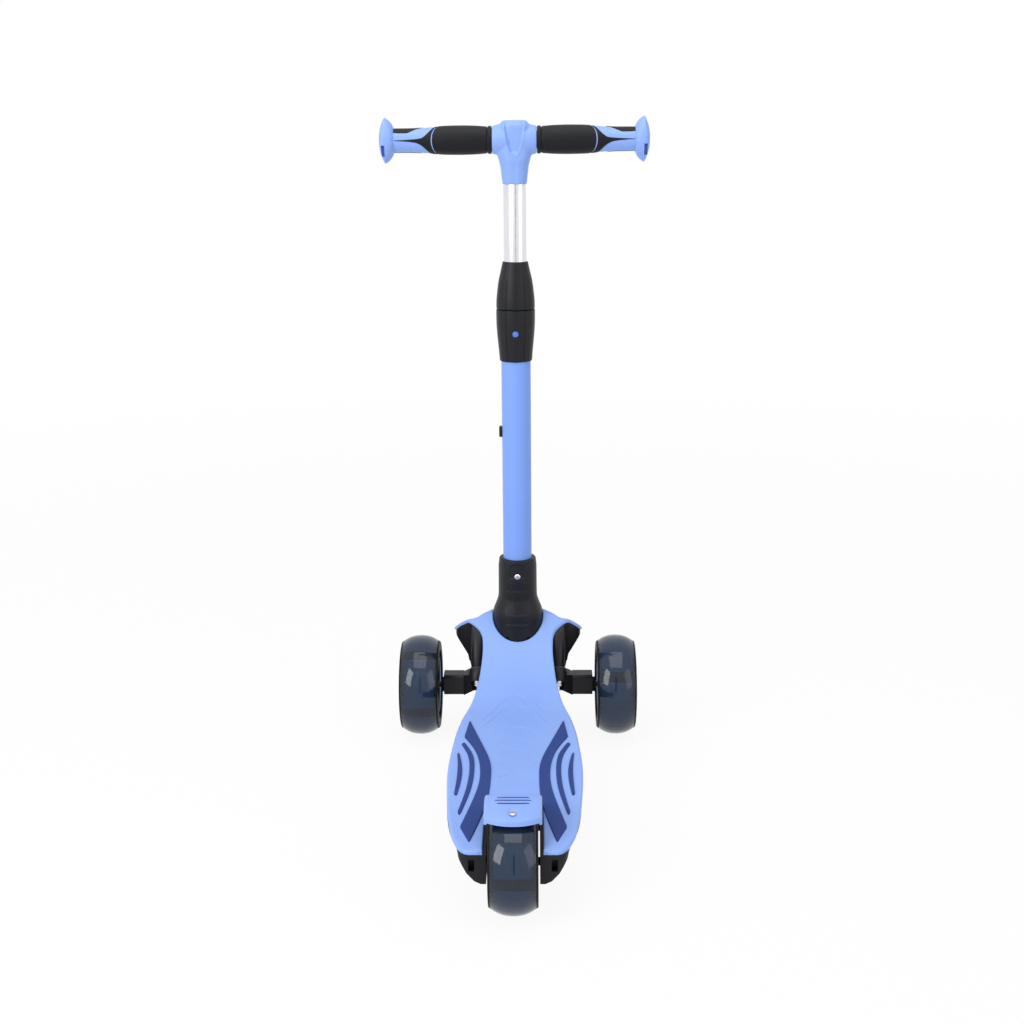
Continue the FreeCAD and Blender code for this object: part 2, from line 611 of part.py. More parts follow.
def make_brake_spring():
    """Torsion spring on the fender's pin, drawn as its coil."""
    return ring(V(FENDER_EYE_HALF_X + 0.1, BRAKE_PIN_Y, BRAKE_PIN_Z), X_AXIS, 3.6, BRAKE_PIN_R, 0.7)


# ---- Folding stem -------------------------------------------------------------
def make_fold_bracket():
    """Steel bracket: a floor plate and two swan-neck cheeks round the fold pin."""
    low = DECK_FLOOR_Z + 4
    foot = block(-BRACKET_HALF_X, BRACKET_HALF_X, 24, 48, low, low + BRACKET_T)
    neck = [(FOLD_PIN_Y, FOLD_PIN_Z + 6), (FOLD_PIN_Y, FOLD_PIN_Z - 6), (19, FOLD_PIN_Z - 6), (26, 110),
            (26, low),
            (46, low), (46, 118), (36, FOLD_PIN_Z + 6)]
    cheeks = []
    for x0 in (-BRACKET_HALF_X, BRACKET_HALF_X - BRACKET_T):
        cheeks.append(plate_x(neck, x0, x0 + BRACKET_T))
        cheeks.append(rod_x(x0, x0 + BRACKET_T, FOLD_PIN_Y, FOLD_PIN_Z, 6))
    bracket = fused(foot, *cheeks)
    bracket = bracket.cut(rod_x(-30, 30, FOLD_PIN_Y, FOLD_PIN_Z, FOLD_PIN_R))
    bracket = bracket.cut(rod_x(-30, 30, LATCH_PIN_Y, LATCH_PIN_Z, LATCH_PIN_R))
    for x, y in bracket_screw_places():
        bracket = bracket.cut(rod(V(x, y, low - 1), Z_AXIS, 2, 6))
    return one_solid(bracket)


def make_stem_foot():
    """Block in the tube's lower end that turns on the fold pin."""
    half = BRACKET_HALF_X - BRACKET_T - 0.4
    body = plate_x([(FOLD_PIN_Y, FOLD_PIN_Z - 5.8), (30, FOLD_PIN_Z - 5.8), (34, 130), (34, 150), (8, 150),
                    (FOLD_PIN_Y, FOLD_PIN_Z + 5.8)], -half, half)
    eye = rod_x(-half, half, FOLD_PIN_Y, FOLD_PIN_Z, 5.8)
    plug = rod(V(0, STEM_Y, 146), Z_AXIS, OUTER_TUBE_R - 2, 40)
    foot = fused(body, eye, plug)
    foot = foot.cut(rod_x(-30, 30, FOLD_PIN_Y, FOLD_PIN_Z, FOLD_PIN_R + RUN))
    # Step that the latch hooks under.
    return one_solid(foot.cut(block(-20, 20, 29, 40, 118, 130.3)))


def make_fold_latch():
    """Hook in the bracket; its front tongue is the release lever."""
    hook = plate_x([(LATCH_PIN_Y - 4, LATCH_PIN_Z), (LATCH_PIN_Y + 4, LATCH_PIN_Z), (41, 121), (38, 127),
                    (30.4, 127),
                    (30.4, 121.5), (36, 118)], -8, 8)
    eye = rod_x(-8, 8, LATCH_PIN_Y, LATCH_PIN_Z, 4.4)
    tongue = plate_x([(LATCH_PIN_Y, LATCH_PIN_Z - 4.2), (LATCH_PIN_Y, LATCH_PIN_Z + 2), (52, 100),
                      (57.6, 96),
                      (57.6, 91), (54, 91), (50, 95)], -8, 8)
    latch = fused(hook, eye, tongue)
    return one_solid(latch.cut(rod_x(-20, 20, LATCH_PIN_Y, LATCH_PIN_Z, LATCH_PIN_R + RUN)))


def make_latch_spring():
    return ring(V(8.2, LATCH_PIN_Y, LATCH_PIN_Z), X_AXIS, 4.2, 2.4, 2.6)


def make_boot():
    outer = boot_solid()
    hollow = turned_z([(0, 90), (BOOT_R - 2.6, 90), (BOOT_R - 2.6, 149), (24.2, 156), (21.6, 163),
                       (20.4, 168),
                       (20.4, 186), (OUTER_TUBE_R, 186), (OUTER_TUBE_R, 230), (0, 230)], STEM_Y)
    boot = outer.cut(hollow)
    # The rear wall clears the bracket's round ends.
    notch = BRACKET_HALF_X + 2 * GAP
    boot = boot.cut(rod_x(-notch - 0.4, notch + 0.4, FOLD_PIN_Y, FOLD_PIN_Z, 6.5))
    for x0 in (-notch, notch - BRACKET_T - 4 * GAP):
        boot = boot.cut(block(x0, x0 + BRACKET_T + 4 * GAP, -12, 26, 90, 122.5))
    screw_y = STEM_Y - 23
    boot = boot.cut(rod(V(0, screw_y - 5, 197), Y_AXIS, 1.8, 12))
    boot = boot.cut(rod(V(0, screw_y - 5, 197), Y_AXIS, 4, 6))
    return one_solid(boot)


def make_boot_screw():
    face_y = STEM_Y - 22
    head = turned([(0, 0), (0, 3.6), (0.8, 3.6), (1.8, 2.4), (2.0, 0)], V(0, face_y, 197), V(0, -1, 0),
                  X_AXIS)
    shank = rod(V(0, face_y - 0.1, 197), Y_AXIS, 1.8, 8.9)
    slots = [block(-2, 2, face_y - 3, face_y - 1.1, 196.6, 197.4),
             block(-0.4, 0.4, face_y - 3, face_y - 1.1, 195, 199)]
    return fused(head, shank).cut(slots[0]).cut(slots[1])


def make_outer_tube():
    low = 150.0
    tube = ring(V(0, STEM_Y, low), Z_AXIS, OUTER_TUBE_R, OUTER_TUBE_R - 2, OUTER_TUBE_TOP_Z + 20 - low)
    tube = tube.cut(rod(V(0, 0, 197), Y_AXIS, 1.8, 12))
    return tube.cut(rod(V(-OUTER_TUBE_R - 2, STEM_Y, 370), X_AXIS, 3, 6))


def make_tube_plug():
    """Small raised plug in the left side of the outer tube."""
    stem = rod(V(-OUTER_TUBE_R + 2, STEM_Y, 370), V(-1, 0, 0), 3, 2.2)
    cap = block(-OUTER_TUBE_R - 3.4, -OUTER_TUBE_R + 1, STEM_Y - 4, STEM_Y + 4, 364, 376)
    cap = cap.makeFillet(1.4, [e for e in cap.Edges if e.Vertexes[0].Point.x < -OUTER_TUBE_R - 2
                               and e.Vertexes[1].Point.x < -OUTER_TUBE_R - 2])
    cap = cap.cut(rod(V(0, STEM_Y, 350), Z_AXIS, OUTER_TUBE_R, 40))
    return fused(one_solid(cap), stem)


# ---- Height clamp -------------------------------------------------------------
def make_clamp_lower():
    shell = turned_z([(OUTER_TUBE_R, CLAMP_LOW_Z), (19, CLAMP_LOW_Z), (19.8, 464.4), (20.9, 476),
                      (21.9, 487.5),
                      (22.6, 499), (22.6, 511.4), (22, CLAMP_SPLIT_Z), (INNER_TUBE_R + 1.8, CLAMP_SPLIT_Z),
                      (INNER_TUBE_R + 1.8, OUTER_TUBE_TOP_Z + 20.3), (OUTER_TUBE_R,
                                                                      OUTER_TUBE_TOP_Z + 20.3)], STEM_Y)
    chamber = rod(V(0, STEM_Y - 17, BUTTON_Z), V(0, -1, 0), 4.2, 3.2)
    mouth = rod(V(0, STEM_Y - 17, BUTTON_Z), V(0, -1, 0), 3.4, 10)
    return shell.cut(chamber).cut(mouth)


def make_snap_button():
    return turned([(0, 0), (0, 4.1), (0.85, 4.1), (0.85, 3.35), (2.2, 3.35), (2.8, 2.4), (3.0, 0)],
                  V(0, STEM_Y - 19.3, BUTTON_Z), V(0, -1, 0), X_AXIS)


def make_button_spring():
    """Wave spring behind the button, drawn at its pressed height."""
    return ring(V(0, STEM_Y - 17.05, BUTTON_Z), V(0, -1, 0), 3.2, 2.4, 0.6)


def make_clamp_upper():
    """Twist collar over the collet."""
    shell = turned_z([(18.2, CLAMP_SPLIT_Z + GAP), (22, CLAMP_SPLIT_Z + GAP), (22.6, 516.5), (22.6, 522),
                      (21.5, 533.3),
                      (19.9, 544.7), (17.2, 556), (14.6, CLAMP_TOP_Z), (INNER_TUBE_R + GAP, CLAMP_TOP_Z),
                      (INNER_TUBE_R + GAP, 551), (16.5, 545), (18.2, 534)], STEM_Y)
    return shell


def make_collet():
    """Split nylon sleeve that grips the inner tube when the collar is turned."""
    sleeve = turned_z([(INNER_TUBE_R + RUN, 500), (INNER_TUBE_R + 1.8, 500),
                       (INNER_TUBE_R + 1.8, CLAMP_SPLIT_Z + 0.1),
                       (17.8, CLAMP_SPLIT_Z + 0.1), (17.8, 533), (16.0, 543), (INNER_TUBE_R + RUN,
                                                                               543)], STEM_Y)
    for angle in (0, 90):
        cut = block(-25, 25, STEM_Y - 0.8, STEM_Y + 0.8, 520, 550)
        cut.rotate(V(0, STEM_Y, 0), Z_AXIS, angle)
        sleeve = sleeve.cut(cut)
    return one_solid(sleeve)


def make_inner_tube():
    return ring(V(0, STEM_Y, INNER_TUBE_LOW_Z), Z_AXIS, INNER_TUBE_R, INNER_TUBE_R - 1.5,
                688 - INNER_TUBE_LOW_Z)


# ---- Handlebar ----------------------------------------------------------------
def make_t_joint():
    neck = turned_z([(0, T_LOW_Z), (14, T_LOW_Z), (15.2, 663), (16.6, 675), (20, 688), (21.7, BAR_Z),
                     (20, 712),
                     (13, T_TOP_Z - 1), (0, T_TOP_Z)], STEM_Y)
    neck = neck.common(block(-30, 30, STEM_Y - 18, STEM_Y + 18, 600, 760))
    collar = turned([(-24.8, 0), (-24.8, 14), (-21, 16.2), (-10, 18), (10, 18), (21, 16.2), (24.8, 14),
                     (24.8, 0)],
                    V(0, STEM_Y, BAR_Z), X_AXIS, Z_AXIS)
    joint = fused(neck, collar)
    joint = joint.cut(rod(V(0, STEM_Y, 600), Z_AXIS, INNER_TUBE_R, 88))
    joint = joint.cut(rod_x(-60, 60, STEM_Y, BAR_Z, BAR_TUBE_R))
    joint = joint.cut(rod(V(0, STEM_Y + 30, 668), V(0, -1, 0), 1.8, 25))
    return one_solid(joint)


def make_t_screw():
    head = rod(V(0, STEM_Y + 16.2, 668), Y_AXIS, 3.4, 1.8)
    shank = rod(V(0, STEM_Y + INNER_TUBE_R + GAP, 668), Y_AXIS, 1.8, 3.4)
    return fused(head, shank)


def make_bar_tube():
    bar = rod_x(-BAR_HALF + 14, BAR_HALF - 14, STEM_Y, BAR_Z, BAR_TUBE_R)
    bar = bar.cut(rod_x(-BAR_HALF, BAR_HALF, STEM_Y, BAR_Z, BAR_TUBE_R - 1.5))
    return bar.cut(rod(V(0, STEM_Y, 640), Z_AXIS, INNER_TUBE_R, 48))


def make_grip_core(side):
    """Hard sleeve whose outer end is the safety flange."""
    sleeve = turned_x([(24.8, BAR_TUBE_R), (24.8, 12.2), (BAR_HALF - 14, 12.2),
                       (BAR_HALF - 14, BAR_TUBE_R)],
                      0, STEM_Y, BAR_Z, side)
    centre = V(side * (BAR_HALF - 8), STEM_Y, BAR_Z)
    outer = turned_x([(BAR_HALF - 16, 0), (BAR_HALF - 14, 13), (BAR_HALF - 10, 20), (BAR_HALF - 6, 24.8),
                      (BAR_HALF - 3.5, 24.8), (BAR_HALF - 1, 13), (BAR_HALF, 0)], 0, STEM_Y, BAR_Z, side)
    outer = outer.common(block(-200, 200, STEM_Y - 17, STEM_Y + 17, BAR_Z - 30, BAR_Z + 30))
    flange = outer.cut(rod_x(-BAR_HALF + 14, BAR_HALF - 14, STEM_Y, BAR_Z, BAR_TUBE_R))
    slot = block(centre.x - 4, centre.x + 4, STEM_Y - 12, STEM_Y - 10, BAR_Z - 20, BAR_Z - 8)
    return one_solid(fused(sleeve, flange).cut(slot))


def make_grip(side):
    """Rubber sleeve, fullest where the palm rests."""
    profile = [(25.2, 12.2), (25.2, 15), (29, 15), (30, 14.2), (31, 14.9), (45, 15.6), (60, 15.8),
               (75, 15.6), (88, 14.8),
               (100, 13.9), (115, 13.2), (BAR_HALF - 16.4, 13.0), (BAR_HALF - 16.4, 12.2)]
    return turned_x(profile, 0, STEM_Y, BAR_Z, side)


# ---- Assembly -----------------------------------------------------------------
def deck_parts():
    cover = make_deck_cover()
    for x, y in deck_screw_places():
        cover = cover.cut(rod(V(x, y, 60), Z_AXIS, 1.6, 13))
    save("deck_cover", one_solid(cover))
    save("deck_base", make_deck_base())
    for name, side in SIDES.items():
        save("deck_pads_" + name, make_pads(side))
    save("nose_trim", make_nose_trim())
    save("truck_housing", make_truck_housing())
    screws = [screw_up(x, y, DECK_FLOOR_Z + 3, 3.2, 1.6, 22) for x, y in deck_screw_places()]
    screws += [screw_up(x, y, DECK_FLOOR_Z, 3.2, 1.6, 22) for x, y in housing_screw_places()]
    save("deck_screws", *screws)
    save("bracket_bolts", *[screw_up(x, y, DECK_FLOOR_Z, 3.6, 2.0, 7) for x, y in bracket_screw_places()])


def steering_parts():
    for name, side in SIDES.items():
        save("kingpin_" + name, make_kingpin(side))
        save("kingpin_bush_" + name, make_kingpin_bush(side))
        save("knuckle_" + name, make_knuckle(side))
        save("tie_pin_" + name, make_tie_pin(side))
        save("front_axle_" + name, make_front_axle(side))
        x0, x1 = sorted((side * 70, side * 76.4))
        save("front_axle_nut_" + name, nut(x0, x1, 0, FRONT_Z, 13))
    save("tie_rod", make_tie_rod())


def wheel_parts():
    for name, side in SIDES.items():
        x = side * TRACK / 2
        save("front_tyre_" + name, make_tyre(x, 0, FRONT_Z, FRONT_WHEEL_W, FRONT_WHEEL_R, 42))
        save("front_hub_" + name, make_hub(x, 0, FRONT_Z, FRONT_WHEEL_W - 8, 42, 6))
        save("front_bearings_" + name, make_bearings(x, 0, FRONT_Z, FRONT_WHEEL_W - 8))
    save("rear_tyre", make_tyre(0, REAR_Y, REAR_Z, REAR_WHEEL_W, REAR_WHEEL_R, 34))
    save("rear_hub", make_hub(0, REAR_Y, REAR_Z, REAR_WHEEL_W - 8, 34, 6))
    save("rear_bearings", make_bearings(0, REAR_Y, REAR_Z, REAR_WHEEL_W - 8))
    shank = rod_x(-40, 42, REAR_Y, REAR_Z, AXLE_R)
    save("rear_axle", fused(shank, rod_x(-42, -38, REAR_Y, REAR_Z, 7)))
    save("rear_axle_nut", nut(38, 43.5, REAR_Y, REAR_Z, 13))


def brake_parts():
    save("brake_fender", make_brake_fender())
    save("brake_screw", make_brake_screw())
    save("brake_plate", make_brake_plate())
    save("brake_pin", make_brake_pin())
    save("brake_spring", make_brake_spring())


def stem_parts():
    save("fold_bracket", make_fold_bracket())
    save("fold_pin", rod_x(-14.4, 14.4, FOLD_PIN_Y, FOLD_PIN_Z, FOLD_PIN_R))
    save("stem_foot", make_stem_foot())
    save("fold_latch", make_fold_latch())
    save("latch_pin", rod_x(-15.5, 15.5, LATCH_PIN_Y, LATCH_PIN_Z, LATCH_PIN_R))
    save("latch_spring", make_latch_spring())
    save("stem_boot", make_boot())
    save("boot_screw", make_boot_screw())
    save("outer_tube", make_outer_tube())
    save("tube_plug", make_tube_plug())
    save("clamp_body", make_clamp_lower())
    save("clamp_collar", make_clamp_upper())
    save("clamp_collet", make_collet())
    save("height_button", make_snap_button())
    save("button_spring", make_button_spring())


def handlebar_parts():
    save("inner_tube", make_inner_tube())
    save("t_joint", make_t_joint())
    save("t_joint_screw", make_t_screw())
    save("bar_tube", make_bar_tube())
    for name, side in SIDES.items():
        save("grip_core_" + name, make_grip_core(side))
        save("grip_" + name, make_grip(side))


def main():
    os.makedirs("parts", exist_ok=True)
    deck_parts()
    steering_parts()
    wheel_parts()
    brake_parts()
    stem_parts()
    handlebar_parts()


main()
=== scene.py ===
import math

import bmesh
import bpy
import numpy as np
from mathutils import Euler, Matrix, Vector
from mathutils.kdtree import KDTree


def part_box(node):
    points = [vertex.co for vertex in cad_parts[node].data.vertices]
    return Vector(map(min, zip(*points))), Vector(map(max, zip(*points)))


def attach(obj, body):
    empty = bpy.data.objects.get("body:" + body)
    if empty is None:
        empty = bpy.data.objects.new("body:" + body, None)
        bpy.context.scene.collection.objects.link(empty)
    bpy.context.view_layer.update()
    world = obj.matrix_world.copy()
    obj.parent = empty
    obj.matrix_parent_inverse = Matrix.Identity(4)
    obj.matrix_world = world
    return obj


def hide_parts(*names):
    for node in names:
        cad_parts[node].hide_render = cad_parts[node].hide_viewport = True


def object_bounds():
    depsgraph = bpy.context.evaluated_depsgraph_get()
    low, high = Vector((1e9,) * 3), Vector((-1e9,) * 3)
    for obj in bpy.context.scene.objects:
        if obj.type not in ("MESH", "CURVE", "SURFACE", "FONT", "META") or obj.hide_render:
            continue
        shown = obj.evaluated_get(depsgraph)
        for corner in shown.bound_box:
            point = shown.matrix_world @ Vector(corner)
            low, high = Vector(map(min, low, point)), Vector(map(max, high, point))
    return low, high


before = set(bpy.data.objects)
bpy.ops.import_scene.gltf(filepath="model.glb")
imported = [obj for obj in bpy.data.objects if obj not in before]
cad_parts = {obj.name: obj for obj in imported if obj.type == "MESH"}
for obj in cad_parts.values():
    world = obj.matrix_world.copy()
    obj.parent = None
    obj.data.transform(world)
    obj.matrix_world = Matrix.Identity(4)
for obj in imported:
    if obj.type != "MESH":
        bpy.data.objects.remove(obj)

bl_info = {
    "name": "Kick scooter finish",
    "version": (1, 0, 0),
    "blender": (4, 5, 0),
    "location": "View3D > Sidebar > Scooter",
    "description": "Builds the detailed shells, rubbers and finishes of a three-wheeled kick scooter",
    "category": "Object",
}

CAD_BOX = [list(corner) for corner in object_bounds()]
MM = 0.001
TURN = 2 * math.pi


def middle(node):
    """Centre of a CAD node's box, in millimetres."""
    low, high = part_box(node)
    return (low + high) / 2 / MM


FRONT_Y = middle("front_tyre_left").y
REAR_Y = middle("rear_tyre").y - FRONT_Y
STEM_Y = middle("outer_tube").y - FRONT_Y
BAR_Z = middle("bar_tube").z
DECK_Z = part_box("deck_pads_left")[0].z / MM


def tone(red, green, blue):
    """Linear colour of 0 to 255 display values."""
    return tuple((v / 255 / 12.92) if v < 10.3 else ((v / 255 + 0.055) / 1.055) ** 2.4 for v in (red, green, blue))


def colour_property(name, description, red, green, blue):
    return bpy.props.FloatVectorProperty(name=name, description=description, subtype="COLOR", size=3,
                                         min=0.0, max=1.0, default=tone(red, green, blue))


def size_property(name, description, millimetres):
    return bpy.props.FloatProperty(name=name, description=description, unit="LENGTH", subtype="DISTANCE",
                                   default=millimetres * MM)


class ScooterColours(bpy.types.PropertyGroup):
    shell: colour_property("Shell blue", "Deck cover, fender, T-joint and grip flanges", 138, 171, 240)
    paint: colour_property("Paint blue", "Painted lower tube", 126, 163, 240)
    pad: colour_property("Pad navy", "Soft grip pads and trim", 34, 60, 126)
    black: colour_property("Moulded black", "Deck tray, housing, knuckles, boot and clamp", 22, 23, 28)
    rubber: colour_property("Grip black", "Handlebar sleeves", 18, 19, 23)
    tyre: colour_property("Smoke tint", "Clear cast tyres", 98, 124, 156)
    drum: colour_property("Drum blue", "Core that shows through the tyres", 62, 82, 110)
    drum_dark: colour_property("Drum dark", "Bars and edges of the tyre core", 7, 9, 13)
    steel: colour_property("Steel", "Screws, pins, axles and springs", 200, 203, 210)
    button: colour_property("Button blue", "Height button", 84, 124, 206)


class ScooterSizes(bpy.types.PropertyGroup):
    cover_edge: size_property("Cover edge", "Rounding along the edge of the deck cover", 2.6)
    line_width: size_property("Line width", "Width of the raised lines on the deck", 1.7)
    line_height: size_property("Line height", "Height of the raised lines on the deck", 0.6)
    ridge: size_property("Boot ridge", "How far the boot's ridges stand out", 0.9)
    flute: size_property("Clamp flute", "Depth of the grooves in the height clamp", 0.7)
    edge_break: size_property("Edge break", "Rounding of the edges of machined and moulded parts", 0.35)


# ---- Shaders ------------------------------------------------------------------
class Value:
    """A shader value. Arithmetic on it adds Math nodes."""

    def __init__(self, shader, socket):
        self.shader = shader
        self.socket = socket

    def math(self, operation, *terms):
        return self.shader.node("ShaderNodeMath", {"operation": operation}, list(terms))

    def __add__(self, other):
        return self.math("ADD", self, other)

    def __sub__(self, other):
        return self.math("SUBTRACT", self, other)

    def __rsub__(self, other):
        return self.math("SUBTRACT", other, self)

    def __mul__(self, other):
        return self.math("MULTIPLY", self, other)

    def __gt__(self, other):
        return self.math("GREATER_THAN", self, other)

    __radd__ = __add__
    __rmul__ = __mul__


class Shader:
    """One material and its nodes."""

    def __init__(self, name):
        self.material = bpy.data.materials.new(name)
        self.material.use_nodes = True
        self.tree = self.material.node_tree
        self.tree.nodes.clear()

    def node(self, kind, settings=None, sockets=(), output=0):
        """Adds a node: its settings first, then the values or links of its sockets."""
        made = self.tree.nodes.new(kind)
        for key, setting in (settings or {}).items():
            if key == "stops":
                ramp = made.color_ramp.elements
                while len(ramp) < len(setting):
                    ramp.new(0.5)
                for element, (position, colour) in zip(ramp, setting):
                    element.position = position
                    element.color = colour
            else:
                setattr(made, key, setting)
        pairs = sockets.items() if isinstance(sockets, dict) else enumerate(sockets)
        for key, value in pairs:
            if isinstance(value, Value):
                self.tree.links.new(value.socket, made.inputs[key])
            else:
                made.inputs[key].default_value = value
        return Value(self, made.outputs[output] if len(made.outputs) else None)

    def place(self):
        return self.node("ShaderNodeTexCoord", output="Object")

    def noise(self, scale, detail=3.0, stretch=(1, 1, 1)):
        """Cloudy value from 0 to 1. Scale is in lumps to the metre."""
        where = self.node("ShaderNodeMapping", {}, {"Vector": self.place(), "Scale": stretch})
        return self.node("ShaderNodeTexNoise", {}, {"Vector": where, "Scale": scale, "Detail": detail}, "Fac")

    def pebbles(self, scale):
        return self.node("ShaderNodeTexVoronoi", {}, {"Vector": self.place(), "Scale": scale}, "Distance")

    def blend(self, share, low, high):
        """Colour between low and high."""
        return self.node("ShaderNodeMix", {"data_type": "RGBA"}, {0: share, 6: low, 7: high}, 2)

    def bump(self, height, depth, strength=1.0):
        """Surface relief of that depth in metres."""
        return self.node("ShaderNodeBump", {}, {"Height": height, "Distance": depth, "Strength": strength})

    def surface(self, **sockets):
        """Ends the shader in a Principled surface. Names use _ for spaces."""
        named = {key.replace("_", " "): value for key, value in sockets.items()}
        made = self.node("ShaderNodeBsdfPrincipled", {}, named)
        self.node("ShaderNodeOutputMaterial", {}, {"Surface": made})
        return self.material


def rgba(colour, share=1.0):
    return tuple(min(c * share, 1.0) for c in colour) + (1.0,)


def moulded(name, colour, roughness, grain=5200, depth=2e-5, mottle=0.05, **uniform):
    """Injection-moulded plastic: faint flow marks in the colour and a fine satin grain."""
    s = Shader(name)
    flow = s.noise(14, 2)
    fine = s.noise(grain, 2)
    speck = s.noise(900, 2)
    tint = s.blend(flow, rgba(colour, 1 - mottle), rgba(colour, 1 + mottle))
    normal = s.bump(fine + 0.6 * speck, depth)
    return s.surface(Base_Color=tint, Roughness=roughness - 0.04 + 0.08 * speck, Normal=normal, **uniform)


def soft_rubber(name, colour, roughness, pebble=2600, depth=4e-5):
    """Rubber with a fine pebbled skin and a painted highlight on its high spots."""
    s = Shader(name)
    skin = s.pebbles(pebble)
    cloud = s.noise(30, 3)
    tint = s.blend(cloud, rgba(colour, 0.92), rgba(colour, 1.1))
    # Painted highlight: the high spots of the pebbled skin are mixed towards a paler copy of the colour.
    tint = s.blend(0.12 * skin, tint, rgba(colour, 1.6))
    return s.surface(Base_Color=tint, Roughness=roughness + 0.12 * cloud, Normal=s.bump(skin, depth),
                     Specular_IOR_Level=0.22)


def painted(name, colour):
    """Satin paint on steel tube with slight orange peel."""
    s = Shader(name)
    peel = s.noise(420, 1)
    cloud = s.noise(9, 2)
    tint = s.blend(cloud, rgba(colour, 0.97), rgba(colour, 1.03))
    return s.surface(Base_Color=tint, Roughness=0.42 + 0.08 * cloud, Normal=s.bump(peel, 1.5e-5),
                     Specular_IOR_Level=0.4)


def metal(name, colour, roughness, stretch=(1, 1, 1), scale=1600, depth=6e-6):
    """Plated metal with fine drawing marks along the direction that isn't stretched."""
    s = Shader(name)
    marks = s.noise(scale, 3, stretch)
    cloud = s.noise(40, 2)
    tint = s.blend(cloud, rgba(colour, 0.93), rgba(colour, 1.04))
    return s.surface(Base_Color=tint, Metallic=1.0, Roughness=roughness + 0.1 * marks, Normal=s.bump(marks, depth))


def cast_clear(name, colour):
    """Smoke-tinted cast tyre, glossy, with tiny flow marks."""
    s = Shader(name)
    flow = s.noise(55, 2)
    tint = s.blend(flow, rgba(colour, 0.9), rgba(colour, 1.08))
    return s.surface(Base_Color=tint, Roughness=0.04 + 0.05 * flow, Normal=s.bump(flow, 4e-5),
                     Transmission_Weight=0.92, IOR=1.45, Specular_IOR_Level=0.25)


def finishes(context):
    """Materials of every finish, made once and shared."""
    c = context.scene.scooter_colours
    makers = {
        "Moulded blue": lambda n: moulded(n, c.shell, 0.42, Specular_IOR_Level=0.4),
        "Painted blue": lambda n: painted(n, c.paint),
        "Navy pads": lambda n: soft_rubber(n, c.pad, 0.5, 1500, 6e-5),
        "Moulded black": lambda n: moulded(n, c.black, 0.44, 3600, 5e-5, 0.1, Specular_IOR_Level=0.25),
        "Grip rubber": lambda n: soft_rubber(n, c.rubber, 0.46, 2400, 3e-5),
        "Smoke tyre": lambda n: cast_clear(n, c.tyre),
        "Tyre core": lambda n: moulded(n, c.drum, 0.4, 2600, 3e-5, 0.12, Specular_IOR_Level=0.2),
        "Tyre core dark": lambda n: moulded(n, c.drum_dark, 0.5, 2600, 3e-5, 0.1, Specular_IOR_Level=0.15),
        "Polished tube": lambda n: metal(n, (0.78, 0.78, 0.82), 0.16, (1, 1, 0.04)),
        "Bright screws": lambda n: metal(n, c.steel, 0.2),
        "Dull steel": lambda n: metal(n, (0.32, 0.33, 0.36), 0.38, depth=1.5e-5),
        "Black coated steel": lambda n: moulded(n, (0.012, 0.012, 0.015), 0.4, 2200, 6e-5, 0.15, Specular_IOR_Level=0.25),
        "Bush rubber": lambda n: soft_rubber(n, (0.05, 0.05, 0.055), 0.6, 1800, 6e-5),
        "Button blue": lambda n: moulded(n, c.button, 0.34),
    }
    return {name: bpy.data.materials.get(name) or make(name) for name, make in makers.items()}


# ---- Shapes -------------------------------------------------------------------
def smooth(stations):
    """Function through (place, value) pairs that never overshoots them."""
    xs, ys = (np.array(v, float) for v in zip(*stations))
    step = np.diff(xs)
    slope = np.diff(ys) / step
    tangent = np.zeros(len(xs))
    tangent[0], tangent[-1] = slope[0], slope[-1]
    same_way = slope[:-1] * slope[1:] > 0
    mean = 2 * slope[:-1] * slope[1:] / np.where(same_way, slope[:-1] + slope[1:], 1)
    tangent[1:-1] = np.where(same_way, mean, 0)

    def value(at):
        at = np.clip(np.asarray(at, float), xs[0], xs[-1])
        k = np.clip(np.searchsorted(xs, at) - 1, 0, len(step) - 1)
        t = (at - xs[k]) / step[k]
        return ((2 * t + 1) * (t - 1) ** 2 * ys[k] + t * (t - 1) ** 2 * step[k] * tangent[k]
                + t * t * (3 - 2 * t) * ys[k + 1] + t * t * (t - 1) * step[k] * tangent[k + 1])

    return value


def line_through(points, count):
    """Evenly spaced points on a smooth line through the given ones."""
    points = np.array(points, float)
    length = np.concatenate([[0], np.cumsum(np.linalg.norm(np.diff(points, axis=0), axis=1))])
    steps = np.diff(length)
    system = np.eye(len(points))
    pull = np.zeros(points.shape)
    for k in range(1, len(points) - 1):
        system[k, k - 1:k + 2] = steps[k - 1], 2 * (steps[k - 1] + steps[k]), steps[k]
        pull[k] = 6 * ((points[k + 1] - points[k]) / steps[k] - (points[k] - points[k - 1]) / steps[k - 1])
    bend = np.linalg.solve(system, pull)
    at = np.linspace(0, length[-1], count)
    k = np.clip(np.searchsorted(length, at) - 1, 0, len(steps) - 1)
    step = steps[k][:, None]
    a = (length[k + 1] - at)[:, None] / step
    b = 1 - a
    sag = (a ** 3 - a) * bend[k] + (b ** 3 - b) * bend[k + 1]
    return a * points[k] + b * points[k + 1] + sag * step * step / 6


def ramp(value, low, high):
    """0 below low, 1 above high and eased in between."""
    t = np.clip((value - low) / (high - low), 0, 1)
    return t * t * (3 - 2 * t)


def rounding(distance, radius):
    """Drop of a surface whose edge, this far away, is rounded with that radius."""
    inside = np.clip(radius - distance, 0, radius)
    return radius - np.sqrt(radius * radius - inside * inside)


def clustered(start, end, count, close=1.0):
    """Places from start to end that crowd towards both ends."""
    t = np.linspace(0, 1, count)
    eased = 0.5 - 0.5 * np.cos(math.pi * t)
    return start + (end - start) * (close * eased + (1 - close) * t)


